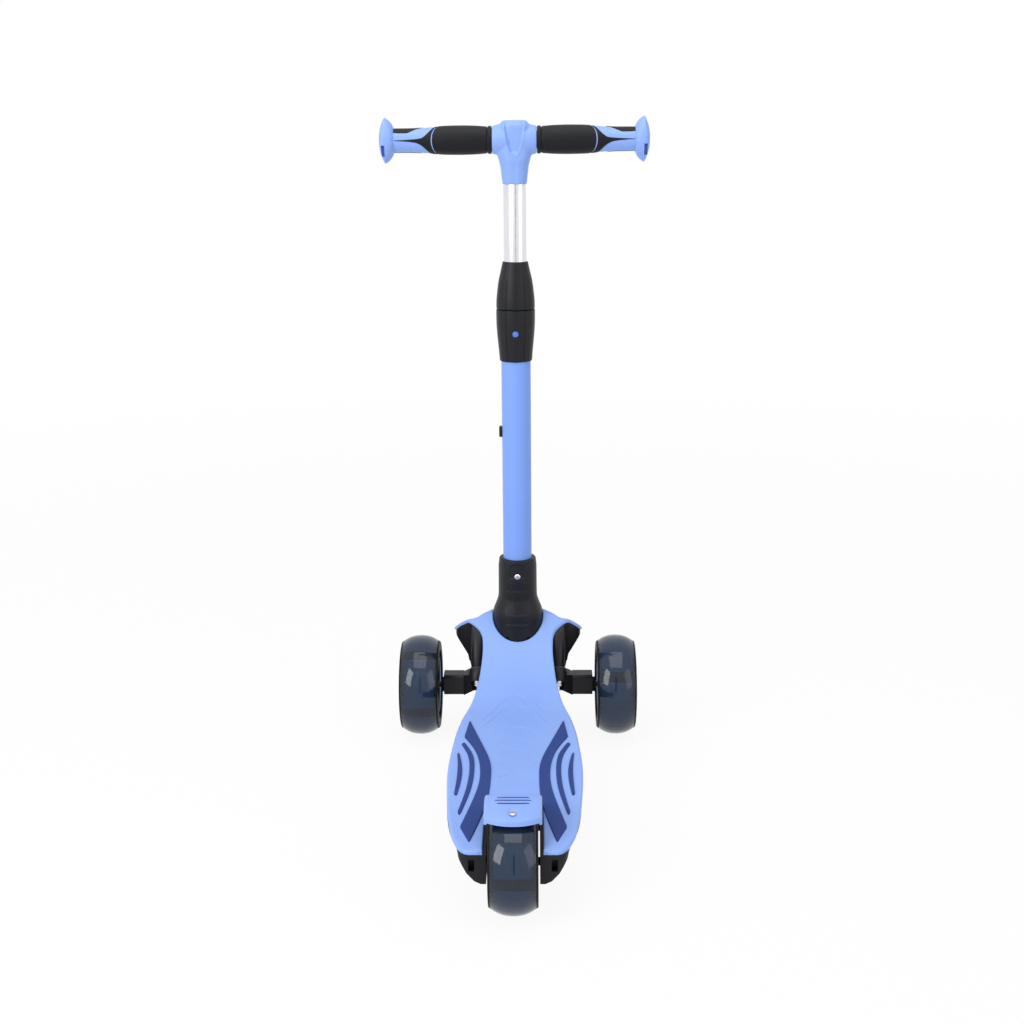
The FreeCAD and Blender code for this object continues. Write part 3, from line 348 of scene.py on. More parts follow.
class Form:
    """Vertices and faces in millimetres from the front axle line, before they become one mesh."""

    def __init__(self):
        self.points = []
        self.faces = []
        self.finish = []

    def lattice(self, rows, around=False, closed=False, finish=0):
        """Quads between rows of points. around joins each row's ends, closed joins the last row to the first."""
        rows = np.asarray(rows, float)
        count, across = rows.shape[:2]
        base = len(self.points)
        self.points.extend(map(tuple, rows.reshape(-1, 3)))
        for i in range(count if closed else count - 1):
            for k in range(across if around else across - 1):
                a, b = i * across, ((i + 1) % count) * across
                nxt = (k + 1) % across
                self.faces.append((base + a + k, base + a + nxt, base + b + nxt, base + b + k))
                kind = finish(i, k) if callable(finish) else finish
                self.finish.append(kind)
        return self

    def cap(self, ring, centre, finish=0):
        """Fan of triangles from a ring to one point."""
        base = len(self.points)
        self.points.extend(map(tuple, np.asarray(ring, float)))
        self.points.append(tuple(centre))
        count = len(ring)
        for k in range(count):
            self.faces.append((base + k, base + (k + 1) % count, base + count))
            self.finish.append(finish)
        return self

    def mirrored(self):
        """Adds the same form on the other side of the middle plane."""
        base = len(self.points)
        self.points.extend([(-x, y, z) for x, y, z in self.points])
        self.faces.extend([tuple(base + v for v in reversed(f)) for f in list(self.faces)])
        self.finish.extend(list(self.finish))
        return self

    def piece(self, name, body, materials, slot, replaces=(), sharp=38):
        """The form as an object that rides on a body and stands for CAD nodes."""
        mesh = bpy.data.meshes.new(name)
        mesh.from_pydata([(x * MM, (y + FRONT_Y) * MM, z * MM) for x, y, z in self.points], [], self.faces)
        for material in materials:
            mesh.materials.append(material)
        mesh.polygons.foreach_set("material_index", self.finish)
        work = bmesh.new()
        work.from_mesh(mesh)
        bmesh.ops.remove_doubles(work, verts=work.verts, dist=2e-6)
        bmesh.ops.dissolve_degenerate(work, edges=work.edges, dist=1e-6)
        bmesh.ops.recalc_face_normals(work, faces=work.faces)
        work.to_mesh(mesh)
        work.free()
        made = bpy.data.objects.new(name, mesh)
        bpy.context.scene.collection.objects.link(made)
        soften(made, sharp)
        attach(made, body)
        if replaces:
            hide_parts(*replaces)
        return made


def soften(piece, sharp=38):
    """Smooth shading with crisp edges where faces meet at more than sharp degrees."""
    piece.data.shade_smooth()
    piece.data.set_sharp_from_angle(angle=math.radians(sharp))


def baked(piece):
    """Applies the piece's modifiers to its mesh."""
    graph = bpy.context.evaluated_depsgraph_get()
    mesh = bpy.data.meshes.new_from_object(piece.evaluated_get(graph))
    piece.modifiers.clear()
    piece.data = mesh
    return piece


def cut(piece, *boxes):
    """Cuts boxes (x0, x1, y0, y1, z0, z1) in millimetres out of a piece."""
    for x0, x1, y0, y1, z0, z1 in boxes:
        mesh = bpy.data.meshes.new("cutter")
        work = bmesh.new()
        bmesh.ops.create_cube(work, size=1.0)
        for v in work.verts:
            v.co = Vector(((x0 + x1) / 2 + v.co.x * (x1 - x0), (y0 + y1) / 2 + v.co.y * (y1 - y0) + FRONT_Y,
                           (z0 + z1) / 2 + v.co.z * (z1 - z0))) * MM
        work.to_mesh(mesh)
        work.free()
        cutter = bpy.data.objects.new("cutter", mesh)
        bpy.context.scene.collection.objects.link(cutter)
        hole = piece.modifiers.new("Hole", "BOOLEAN")
        hole.object = cutter
        hole.solver = "EXACT"
        bpy.context.view_layer.update()
        baked(piece)
        bpy.data.objects.remove(cutter)
    soften(piece)
    return piece


def turned(place, along, outer, inner, steps=120, finish=0, form=None):
    """Closed ring: outer(along, angle) is its outer radius and inner its bore, both in millimetres.
    place turns (along, across, up) into a point; angle 0 looks backwards and a quarter turn up or right."""
    angles = np.linspace(0, TURN, steps, endpoint=False)
    a, t = np.meshgrid(along, angles, indexing="ij")
    radius = outer(a, t)
    last = np.array([along[-1], along[0]])
    a_in, t_in = np.meshgrid(last, angles, indexing="ij")
    a = np.vstack([a, a_in])
    t = np.vstack([t, t_in])
    radius = np.vstack([radius, np.full(a_in.shape, inner)])
    rows = place(a, -radius * np.cos(t), radius * np.sin(t))
    form = form or Form()
    return form.lattice(np.stack(rows, -1), around=True, closed=True, finish=finish)


def up_stem(along, back, side):
    """Place for pieces round the stem: along is the height, back is backwards and side to the right."""
    return side, STEM_Y + back, along


def along_bar(side):
    """Place for pieces round the handlebar, out from the middle."""
    return lambda along, back, up: (side * along, STEM_Y + back, BAR_Z + up)


def round_axle(x, y, z):
    """Place for wheels."""
    return lambda along, back, up: (x + along, y + back, z + up)


# ---- Deck ---------------------------------------------------------------------
TAIL_Y = -434.0
SLOT_Y = -344.0
SLOT_X = 28.2
COVER_FRONT_Y = 53.5
OPENING_R = 30.6
COVER_T = 4.0
HALF_WIDTH = smooth([
    (-434, 41.5), (-433, 44.5), (-430, 48), (-424, 51.5), (-411, 56), (-398, 59.3), (-337, 66.5), (-262, 70),
    (-190, 67.2), (-134, 61), (-88, 51), (-45, 44.3), (-14, 41.9), (-4, 42.4), (4, 45.2), (12, 53.5), (18, 64.5),
    (22, 72.0), (25, 76.0), (29, 78.0), (34, 77.5), (42, 66), (50, 47), (54, 33),
])
RISE = smooth([(-460, 75), (-120, 75), (-90, 78.5), (-60, 88), (-30, 103.5), (-8, 119), (12, 135), (27, 145.5),
               (40, 146.5), (50, 140), (54, 132)])
EAR_FALL = smooth([(0, 154), (30, 152.5), (36, 149.8), (42.5, 146.6), (52.5, 140.4), (61, 139), (66, 136.9),
                   (71, 134), (79, 128.6)])
EAR_SLOPE = 0.34


def cover_height(x, y):
    """Height of the deck cover: the lower of its rise and the fall of the ears, blended where they meet."""
    rise = RISE(y)
    fall = EAR_FALL(np.abs(x)) - EAR_SLOPE * (np.asarray(y, float) - 12)
    soft = 2.0
    gap = np.clip(0.5 + (fall - rise) / (2 * soft), 0, 1)
    return fall * (1 - gap) + rise * gap - soft * gap * (1 - gap)


def cover_rows():
    tail = np.concatenate([clustered(TAIL_Y, TAIL_Y + 12, 12, 0.4), np.arange(TAIL_Y + 14, SLOT_Y - 5, 3.0)])
    tail = np.concatenate([tail, [SLOT_Y - 3, SLOT_Y - 1, SLOT_Y]])
    middle_part = np.concatenate([[SLOT_Y, SLOT_Y + 0.5, SLOT_Y + 1.2, SLOT_Y + 2.2, SLOT_Y + 4],
                                  np.arange(SLOT_Y + 7, -130, 3.5), np.arange(-128, STEM_Y - OPENING_R - 3, 1.6),
                                  STEM_Y - OPENING_R - np.array([2, 1, 0.4, 0])])
    angle = np.radians(np.concatenate([[0, 2, 4.5, 7.5, 11, 15], np.arange(18, 168, 2.0)]))
    nose = STEM_Y - OPENING_R * np.cos(angle)
    nose = nose[nose < COVER_FRONT_Y - 1.8]
    nose = np.concatenate([nose, COVER_FRONT_Y - np.array([1.2, 0.6, 0.25, 0])])
    return tail, middle_part, nose


def deck_cover_form(edge):
    """Closed shell of the right half of the cover, mirrored."""
    tail, centre, nose = cover_rows()
    inner_columns = 22
    share = SLOT_X / HALF_WIDTH(SLOT_Y)
    near_edge = np.array([5.5, 4.2, 3.1, 2.2, 1.5, 0.9, 0.45, 0.15, 0.0])

    def row(y, inside, from_slot):
        half = float(HALF_WIDTH(y))
        mid = SLOT_X if from_slot else inside + (half - inside) * share
        steep = min(math.hypot(1, (HALF_WIDTH(y + 0.4) - HALF_WIDTH(y - 0.4)) / 0.8), 3.0)
        start = half - near_edge[0] * steep
        outer = np.concatenate([np.linspace(mid, start, 16)[:-1], half - near_edge * steep])
        if from_slot:
            outer[:6] = SLOT_X + np.array([0, 0.25, 0.6, 1.1, 1.8, 3.0])
            outer[5:16] = np.linspace(SLOT_X + 3.0, start, 11)
            return outer
        inner = inside + (mid - inside) * np.linspace(0, 1, inner_columns)[:-1]
        if inside > 0:
            fine = inside + np.array([0, 0.2, 0.5, 1.0, 1.6, 2.4])
            inner = np.concatenate([fine, np.linspace(fine[-1], mid, inner_columns - len(fine) + 1)[1:-1]])
        return np.concatenate([inner, outer])

    outline = [(s * float(HALF_WIDTH(y)), y) for y in np.arange(TAIL_Y, COVER_FRONT_Y, 0.4) for s in (-1, 1)]
    outline += [(x, TAIL_Y) for x in np.arange(-42, 42.1, 0.4)]
    outline += [(x, COVER_FRONT_Y) for x in np.arange(-33, 33.1, 0.4)]
    rim = [(OPENING_R * math.sin(t), STEM_Y - OPENING_R * math.cos(t)) for t in np.linspace(0, TURN, 500)]
    rim = [p for p in rim if p[1] < COVER_FRONT_Y]
    slot = [(s * SLOT_X, y) for y in np.arange(TAIL_Y, SLOT_Y, 0.4) for s in (-1, 1)]
    slot += [(x, SLOT_Y) for x in np.arange(-SLOT_X, SLOT_X + 0.1, 0.4)]
    trees = []
    for border in (outline, rim + slot):
        tree = KDTree(len(border))
        for k, (x, y) in enumerate(border):
            tree.insert((x, y, 0), k)
        tree.balance()
        trees.append(tree)

    def shell(rows, inside_of, from_slot):
        top = []
        for y in rows:
            xs = row(y, inside_of(y), from_slot)
            top.append([(x, y) for x in xs])
        top = np.array(top)
        flat = top.reshape(-1, 2)
        to_edge = np.array([trees[0].find((x, y, 0))[2] for x, y in flat])
        to_hole = np.array([trees[1].find((x, y, 0))[2] for x, y in flat])
        height = cover_height(flat[:, 0], flat[:, 1])
        lip = 0.7 * ramp(-flat[:, 1], -TAIL_Y - 9, -TAIL_Y - 4) * (1 - ramp(to_hole, 5, 9))
        z = height + lip - rounding(to_edge, edge) - rounding(to_hole, 1.4)
        upper = np.column_stack([flat, z]).reshape(top.shape[0], top.shape[1], 3)
        lower = np.column_stack([flat, height - COVER_T]).reshape(upper.shape)
        return upper, lower

    def opening(y):
        inside = OPENING_R ** 2 - (y - STEM_Y) ** 2
        return math.sqrt(inside) if inside > 1e-9 else 0.0

    form = Form()
    for rows, inside_of, from_slot in ((tail, lambda y: SLOT_X, True), (centre, lambda y: 0.0, False),
                                       (nose, opening, False)):
        upper, lower = shell(rows, inside_of, from_slot)
        form.lattice(upper).lattice(lower)
        form.lattice([upper[:, -1], lower[:, -1]])
        if from_slot or inside_of is opening:
            form.lattice([upper[:, 0], lower[:, 0]])
        if rows is tail:
            form.lattice([upper[0], lower[0]])
        if rows is centre:
            form.lattice([upper[0][:inner_columns], lower[0][:inner_columns]])
        if rows is nose:
            form.lattice([upper[-1], lower[-1]])
    return form.mirrored()


def raised_line(form, points, width, height, count=90):
    """Low rounded rib along a line on the cover, thin at both ends."""
    line = line_through(points, count)
    direction = np.gradient(line, axis=0)
    direction /= np.linalg.norm(direction, axis=1)[:, None]
    side = np.stack([direction[:, 1], -direction[:, 0]], 1)
    across = np.linspace(-1, 1, 9)
    end = np.minimum(ramp(np.arange(count), 0, 8), ramp(count - 1 - np.arange(count), 0, 8))
    rows = []
    for (x, y), (sx, sy), taper in zip(line, side, end):
        px, py = x + sx * across * width / 2, y + sy * across * width / 2
        top = cover_height(px, py) + height * taper * np.sqrt(1 - across ** 2) - 0.02
        rows.append(np.column_stack([px, py, top]))
    under = np.array(rows)[:, ::-1].copy()
    under[:, :, 2] = cover_height(under[:, :, 0], under[:, :, 1]) - 0.3
    form.lattice(np.concatenate([np.array(rows), under], axis=1), around=True)
    form.lattice([rows[0], under[0][::-1]]).lattice([rows[-1], under[-1][::-1]])
    return form


class SCOOTER_OT_deck_cover(bpy.types.Operator):
    """Blue deck cover with its ears, openings and raised lines"""
    bl_idname = "scooter.deck_cover"
    bl_label = "Deck cover"

    def execute(self, context):
        sizes = context.scene.scooter_sizes
        finish = finishes(context)
        form = deck_cover_form(sizes.cover_edge / MM)
        form.piece("deck_shell", "deck", [finish["Moulded blue"]], "blue_plastic", ["deck_cover"], sharp=50)
        lines = Form()
        width, height = sizes.line_width / MM, sizes.line_height / MM
        for peak, tip, reach in ((-103.6, -164.6, 40.8), (-81.7, -150, 43.5)):
            side = [(-reach, tip), (-reach * 0.62, peak - (peak - tip) * 0.5), (-reach * 0.3, peak - (peak - tip) * 0.12),
                    (-reach * 0.14, peak - 2)]
            raised_line(lines, side + [(0, peak)] + [(-x, y) for x, y in reversed(side)], width, height)
        for peak, drop, reach in ((-159, 27, 30), (-191, 20, 25), (-218, 15, 22), (-247, 13, 20.5), (-275, 11, 20),
                                  (-311, 9, 20)):
            xs = np.linspace(-reach, reach, 9)
            raised_line(lines, [(x, peak - drop * (x / reach) ** 2) for x in xs], width * 0.55, height * 0.7, 60)
        lines.piece("deck_lines", "deck", [finish["Moulded blue"]], "blue_plastic", sharp=60)
        return {"FINISHED"}


PADS = [
    ([(56.5, -186), (43.5, -220), (36.8, -259), (36.6, -298), (41.7, -337), (51.0, -389)],
     [(52.5, -142), (35.5, -208), (25.5, -256), (24.6, -284), (25.8, -326), (31.7, -372), (41.0, -419)]),
    ([(59.0, -204), (50.6, -232), (47.5, -262), (48.2, -300), (55.0, -360)],
     [(56.0, -200), (45.6, -230), (42.3, -262), (43.2, -302), (52.5, -366)]),
    ([(62.0, -226), (59.8, -262), (60.4, -322)], [(59.6, -228), (54.9, -264), (57.4, -325)]),
]
PAD_H = 1.3
PAD_CORNER = 3.5


def round_corners(u, v, share_u, share_v):
    """Pulls the corners of a grid from 0 to 1 in to quarter ellipses of those shares."""
    du = np.clip((np.abs(2 * u - 1) - 1) / (2 * share_u) + 1, 0, 1)
    dv = np.clip((np.abs(2 * v - 1) - 1) / (2 * share_v) + 1, 0, 1)
    pull_u = du * (1 - np.sqrt(1 - dv * dv / 2)) * share_u
    pull_v = dv * (1 - np.sqrt(1 - du * du / 2)) * share_v
    return u - np.sign(u - 0.5) * pull_u, v - np.sign(v - 0.5) * pull_v


class SCOOTER_OT_deck_pads(bpy.types.Operator):
    """Navy grip pads let into both sides of the deck"""
    bl_idname = "scooter.deck_pads"
    bl_label = "Deck pads"

    def execute(self, context):
        finish = finishes(context)
        for name, side in (("left", -1), ("right", 1)):
            form = Form()
            for outer, inner in PADS:
                count = 110
                a, b = line_through(outer, count), line_through(inner, count)
                along, across = np.meshgrid(np.linspace(0, 1, count), clustered(0, 1, 25, 0.8), indexing="ij")
                length = np.linalg.norm(np.diff(a, axis=0), axis=1).sum()
                width = np.linalg.norm(b - a, axis=1).max()
                along, across = round_corners(along, across, PAD_CORNER / length, min(PAD_CORNER / width, 0.5))
                place = along * (count - 1)
                a, b = (np.stack([np.interp(place, np.arange(count), line[:, k]) for k in (0, 1)], -1) for line in (a, b))
                flat = a + (b - a) * across[..., None]
                border = np.concatenate([flat[0], flat[-1], flat[:, 0], flat[:, -1]])
                tree = KDTree(len(border))
                for k, (x, y) in enumerate(border):
                    tree.insert((x, y, 0), k)
                tree.balance()
                distance = np.array([tree.find((x, y, 0))[2] for x, y in flat.reshape(-1, 2)]).reshape(flat.shape[:2])
                top = DECK_Z + PAD_H - rounding(distance, 0.9)
                xs = flat[..., 0] * side
                upper = np.stack([xs, flat[..., 1], top], -1)
                lower = np.stack([xs, flat[..., 1], np.full(top.shape, DECK_Z - 0.4)], -1)
                form.lattice(upper).lattice(lower)
                for edge in (np.s_[:, 0], np.s_[:, -1], np.s_[0, :], np.s_[-1, :]):
                    form.lattice([upper[edge], lower[edge]])
            form.piece("grip_pads_" + name, "deck", [finish["Navy pads"]], "navy_rubber", ["deck_pads_" + name], 50)
        return {"FINISHED"}


# ---- Brake --------------------------------------------------------------------
FENDER_PROFILE = [(-345.2, 70), (-345.8, 76), (-349.3, 83), (-359, 91.8), (-372, 101.1), (-384, 106.5), (-396, 108.6),
                  (-412, 108.4), (-423, 106.9), (-430, 105.2), (-433.4, 104.2)]
FENDER_X = 27.2
FENDER_LENGTH = 118.0
FENDER_CORNER = 11.0


def fender_point(x, t):
    """Upper surface of the fender: x across and t from 0 at the hinge to 1 at its lip."""
    line = line_through(FENDER_PROFILE, 200)
    at = np.asarray(t) * 199
    u = np.abs(x) / FENDER_X
    back = 11.5 * u ** 2.4 * ramp(t, 0.6, 1.0)
    drop = 1.6 * u ** 4 * ramp(t, 0.1, 0.5)
    y = np.interp(at, np.arange(200), line[:, 0]) + back
    return y, np.interp(at, np.arange(200), line[:, 1]) - drop


class SCOOTER_OT_fender(bpy.types.Operator):
    """Brake fender over the rear wheel with its grip bars"""
    bl_idname = "scooter.fender"
    bl_label = "Brake fender"

    def execute(self, context):
        finish = finishes(context)
        t = np.concatenate([np.linspace(0, 0.93, 80), 1 - np.array([0.055, 0.04, 0.028, 0.018, 0.01, 0.004, 0])])
        half = FENDER_X - np.array([0, 0.12, 0.4, 0.85, 1.4, 2.2, 3.2])
        x = np.concatenate([-half, np.linspace(-half[-1], half[-1], 40)[1:-1], half[::-1]])
        tt, xx = np.meshgrid(t, x, indexing="ij")
        y, z = fender_point(xx, tt)
        near = np.minimum(FENDER_X - np.abs(xx), (1 - tt) * FENDER_LENGTH)
        screw_y = middle("brake_screw").y - FRONT_Y
        seat = np.hypot(xx, y - screw_y)
        tear = np.hypot(xx, (y - screw_y - 5) * 0.6)
        seat_drop = 1.0 * (1 - ramp(seat, 4.0, 5.2)) + 0.8 * (1 - ramp(tear, 2.5, 5))
        corner = FENDER_CORNER - np.clip(tt * FENDER_LENGTH, 0, FENDER_CORNER)
        narrow = 1 - rounding(FENDER_CORNER - corner, FENDER_CORNER) / FENDER_X
        upper = np.stack([xx * narrow, y, z - rounding(near, 1.6) - seat_drop], -1)
        lean_y, lean_z = np.gradient(y, axis=0), np.gradient(z, axis=0)
        size = np.hypot(lean_y, lean_z)
        wall = 2.5
        skirt = 4.2 * ramp(tt, 0.35, 0.6) * (np.abs(xx) > FENDER_X - 2.5)
        skirt = np.maximum(skirt, 2.2 * ramp(tt, 0.95, 0.975))
        under = np.stack([xx * narrow, y + wall * lean_z / size, z - wall * np.abs(lean_y) / size - skirt], -1)
        form = Form().lattice(upper).lattice(under)
        for edge in (np.s_[:, 0], np.s_[:, -1], np.s_[0, :], np.s_[-1, :]):
            form.lattice([upper[edge], under[edge]])
        form.piece("fender_shell", "brake", [finish["Moulded blue"]], "blue_plastic", ["brake_fender"], 45)
        bars = Form()
        for place, reach in ((0.62, 15.5), (0.68, 17.5), (0.74, 15.5)):
            xs = np.linspace(-reach, reach, 41)
            rows = []
            for step in np.linspace(-1, 1, 9):
                y, z = fender_point(xs, np.full(xs.shape, place + 0.009 * step))
                end = np.sqrt(np.clip(1 - (np.abs(xs) / reach) ** 8, 0, 1))
                rows.append(np.stack([xs, y, z + 0.7 * math.sqrt(1 - step * step) * end - 0.15], -1))
            base = np.array([rows[0], rows[-1]])
            base[..., 2] -= 0.8
            bars.lattice(rows + [base[1], base[0]], closed=True)
            loop = np.array(rows + [base[1], base[0]])
            for k in (0, -1):
                bars.cap(loop[:, k], loop[:, k].mean(0))
        bars.piece("fender_bars", "brake", [finish["Navy pads"]], "navy_rubber", sharp=50)
        return {"FINISHED"}


# ---- Stem ---------------------------------------------------------------------
BOOT_TOP = 216.0
BOOT_RADIUS = smooth([(96, 30), (143, 30), (150, 29.3), (157, 26.8), (163, 24.6), (168, 23.4), (176, 23.1), (205, 22.9),
                      (210, 22.4), (BOOT_TOP, 21.8)])
RIDGES = (178, 164, 150, 138)
TUBE_R = 17.0
TUBE_HALF = 161.0


class SCOOTER_OT_boot(bpy.types.Operator):
    """Painted tube and the black boot at the foot of the stem with its ridges and screw tab"""
    bl_idname = "scooter.boot"
    bl_label = "Stem boot"

    def execute(self, context):
        ridge = context.scene.scooter_sizes.ridge / MM
        finish = finishes(context)
        steps = 200
        tube = turned(up_stem, np.linspace(middle("outer_tube").z - TUBE_HALF, middle("outer_tube").z + TUBE_HALF, 40),
                      lambda z, t: TUBE_R + 0 * z, TUBE_R - 2, steps)
        tube.piece("lower_tube", "stem", [finish["Painted blue"]], "blue_paint", ["outer_tube"], 50)
        angles = np.linspace(0, TURN, steps, endpoint=False)
        share = clustered(0, 1, 220, 0.25)

        def foot(radius):
            y = STEM_Y - radius * np.cos(angles)
            return np.interp(y, [-20, -8, 20, 52, 70], [110.5, 113, 128, 134, 134])

        def wall(z, t):
            radius = BOOT_RADIUS(z)
            x = radius * np.sin(t)
            rear = np.cos(t) > 0
            for crest in RIDGES:
                hollow = np.clip((crest + 9 - z) / 8, 0, 1) * ramp(z, crest + 0.2, crest + 1.0)
                ledge = ramp(z, crest - 5, crest - 0.5) * (1 - ramp(z, crest + 0.2, crest + 1.0))
                window = (1 - ramp(np.abs(x), 10.5, 14.5)) * rear
                radius = radius + ridge * (0.4 * ledge - 1.1 * hollow) * window
            top = 212.5 - 0.045 * x ** 2
            tab = (1 - ramp(np.abs(x), 8.8, 9.8)) * ramp(z, 194.5, 195.5) * (1 - ramp(z, top - 1, top)) * rear
            radius = radius - 0.9 * tab
            return radius - rounding(BOOT_TOP - z, 1.6)

        base = foot(30.0)
        z = base[None, :] + (BOOT_TOP - base)[None, :] * share[:, None]
        t = np.broadcast_to(angles, z.shape)
        outer = wall(z, t)
        inner_z = z[::-1][::8]
        inner = np.clip(BOOT_RADIUS(inner_z) - 2.6, 17.15, None)
        inner = np.where(inner_z > 186, 17.15, inner)
        zz = np.vstack([z, inner_z])
        rr = np.vstack([outer, inner])
        tt = np.vstack([t, t[:len(inner_z)]])
        rows = np.stack(up_stem(zz, -rr * np.cos(tt), rr * np.sin(tt)), -1)
        form = Form().lattice(rows, around=True, closed=True)
        boot = form.piece("boot_shell", "stem", [finish["Moulded black"]], "black_plastic", ["stem_boot"], 50)
        low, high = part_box("fold_bracket")
        cheek = high.x / MM
        cut(boot, (cheek - 3.6, cheek + 0.6, -12, 26, 90, 122.5), (-cheek - 0.6, -cheek + 3.6, -12, 26, 90, 122.5))
        return {"FINISHED"}


CLAMP_LOW, CLAMP_SPLIT, CLAMP_TOP = 454.0, 513.5, 567.5
CLAMP_BODY = smooth([(454, 19), (464.4, 19.8), (476, 20.9), (487.5, 21.9), (499, 22.5), (511.4, 22.6), (513.5, 22.5)])
CLAMP_COLLAR = smooth([(513.8, 22.5), (516.5, 22.6), (522, 22.5), (533.3, 21.5), (544.7, 19.9), (556, 17.2),
                       (567.5, 14.6)])


class SCOOTER_OT_clamp(bpy.types.Operator):
    """Fluted height clamp: fixed body and twist collar"""
    bl_idname = "scooter.clamp"
    bl_label = "Height clamp"

    def execute(self, context):
        depth = context.scene.scooter_sizes.flute / MM
        finish = finishes(context)

        def flutes(t):
            """1 in the middle of each groove; one every sixth of a turn."""
            off = t / TURN * 6 % 1 - 0.5
            return off * TURN / 6 * 21

        def body_radius(z, t):
            off = flutes(t)
            panel = 0.45 * np.cos(np.clip(off / 11, -1, 1) * math.pi) * -0.5
            groove = (1 - ramp(np.abs(off), 0.35, 1.1)) * depth
            step = 0.35 * ramp(off, -1.6, 0.2) * (1 - ramp(off, 0.2, 6))
            ends = rounding(z - CLAMP_LOW, 1.0) + rounding(CLAMP_SPLIT - z, 0.8)
            return CLAMP_BODY(z) + panel - 0.25 - groove + step * 0.5 - ends

        def collar_radius(z, t):
            off = flutes(t)
            fade = 1 - ramp(z, 538, 556)
            groove = (1 - ramp(np.abs(off), 0.35, 1.2)) * depth * (0.35 + 0.65 * fade)
            panel = 0.5 * np.cos(np.clip(off / 11, -1, 1) * math.pi) * -0.5 * fade
            ends = rounding(z - CLAMP_SPLIT - 0.3, 0.8) + rounding(CLAMP_TOP - z, 1.2)
            waist = 0.5 * (1 - ramp(z, CLAMP_SPLIT, CLAMP_SPLIT + 2.2))
            return CLAMP_COLLAR(z) + panel - 0.25 - groove - ends - waist

        black = [finish["Moulded black"]]
        hole_y = STEM_Y - 22
        body = turned(up_stem, clustered(CLAMP_LOW, CLAMP_SPLIT, 70, 0.5), body_radius, 17.05, 360)
        body = body.piece("clamp_shell", "stem", black, "black_plastic", ["clamp_body"], 50)
        button = middle("height_button")
        cut(body, (-3.6, 3.6, hole_y - 6, STEM_Y - 17.3, button.z - 3.6, button.z + 3.6))
        collar = turned(up_stem, clustered(CLAMP_SPLIT + 0.3, CLAMP_TOP, 70, 0.5), collar_radius, 13.1, 360)
        collar.piece("clamp_grip", "collar", black, "black_plastic", ["clamp_collar"], 50)
        return {"FINISHED"}


# ---- Handlebar ----------------------------------------------------------------
T_LOW, T_TOP = 653.0, 722.0
NECK = smooth([(653, 14.0), (663, 15.2), (672, 16.3), (680, 18.2), (688, 20.6), (695, 21.6), (703, 21.6), (711, 20.2),
               (717, 17.2), (720.5, 14.6), (722, 12.4)])
T_COLLAR = smooth([(0, 17.4), (12, 17.4), (18, 16.6), (22, 15.6), (24.8, 15.0)])


class SCOOTER_OT_t_joint(bpy.types.Operator):
    """T-joint that carries the bar, with its scooped rear panel"""
    bl_idname = "scooter.t_joint"
    bl_label = "T-joint"

    def execute(self, context):
        finish = finishes(context)
        form = Form()
        angles = np.linspace(0, TURN, 96, endpoint=False)
        levels = clustered(T_LOW, T_TOP, 60, 0.5)
        rows = []
        for z in levels:
            radius = float(NECK(z))
            depth = min(radius, 17.8) - float(rounding(T_TOP - z, 1.0))
            square = 2.5
            power = (np.abs(np.cos(angles)) ** square + np.abs(np.sin(angles)) ** square) ** (-1 / square)
            rows.append(np.stack(up_stem(np.full(96, z), -depth * power * np.cos(angles) * 0.97,
                                         radius * power * np.sin(angles) * 0.97), -1))
        form.lattice(rows, around=True).cap(rows[0], (0, STEM_Y, T_LOW)).cap(rows[-1], (0, STEM_Y, T_TOP))
        rows = []
        for x in np.linspace(-24.8, 24.8, 50):
            radius = float(T_COLLAR(abs(x)))
            rows.append(np.stack([np.full(96, x), STEM_Y - radius * np.cos(angles), BAR_Z + radius * np.sin(angles)], -1))
        form.lattice(rows, around=True).cap(rows[0], (-24.8, STEM_Y, BAR_Z)).cap(rows[-1], (24.8, STEM_Y, BAR_Z))
        joint = form.piece("t_joint_shell", "handlebar", [finish["Moulded blue"]], "blue_plastic", ["t_joint"], 60)
        remesh = joint.modifiers.new("Fuse", "REMESH")
        remesh.mode = "VOXEL"
        remesh.voxel_size = 0.7 * MM
        remesh.use_smooth_shade = True
        relax = joint.modifiers.new("Relax", "SMOOTH")
        relax.iterations = 9
        relax.factor = 0.7
        bpy.context.view_layer.update()
        baked(joint)
        mesh = joint.data
        co = np.empty(len(mesh.vertices) * 3)
        mesh.vertices.foreach_get("co", co)
        co = co.reshape(-1, 3) / MM
        x, y, z = co[:, 0], co[:, 1] - FRONT_Y - STEM_Y, co[:, 2]
        # The scoop's side lines run in to a point below the bar.
        reach = smooth([(681, 0), (684, 3.4), (691, 7.2), (700, 9.8), (712, 11.8), (724, 13.2)])(z)
        rear = ramp(-y, 3, 9)
        scoop = (1 - ramp(np.abs(x), reach - 2.6, reach - 1.2)) * ramp(z, 686, 689) * rear
        lip = np.exp(-((np.abs(x) - reach + 0.3) / 1.0) ** 2) * ramp(z, 680, 684) * rear
        facet = np.exp(-((np.abs(x) - 4.2) / 1.3) ** 2) * (1 - ramp(z, 672, 681)) * rear
        co[:, 1] += 2.4 * scoop - 0.6 * lip - 0.35 * facet
        mesh.vertices.foreach_set("co", (co * MM).ravel())
        mesh.update()
        soften(joint, 70)
        return {"FINISHED"}


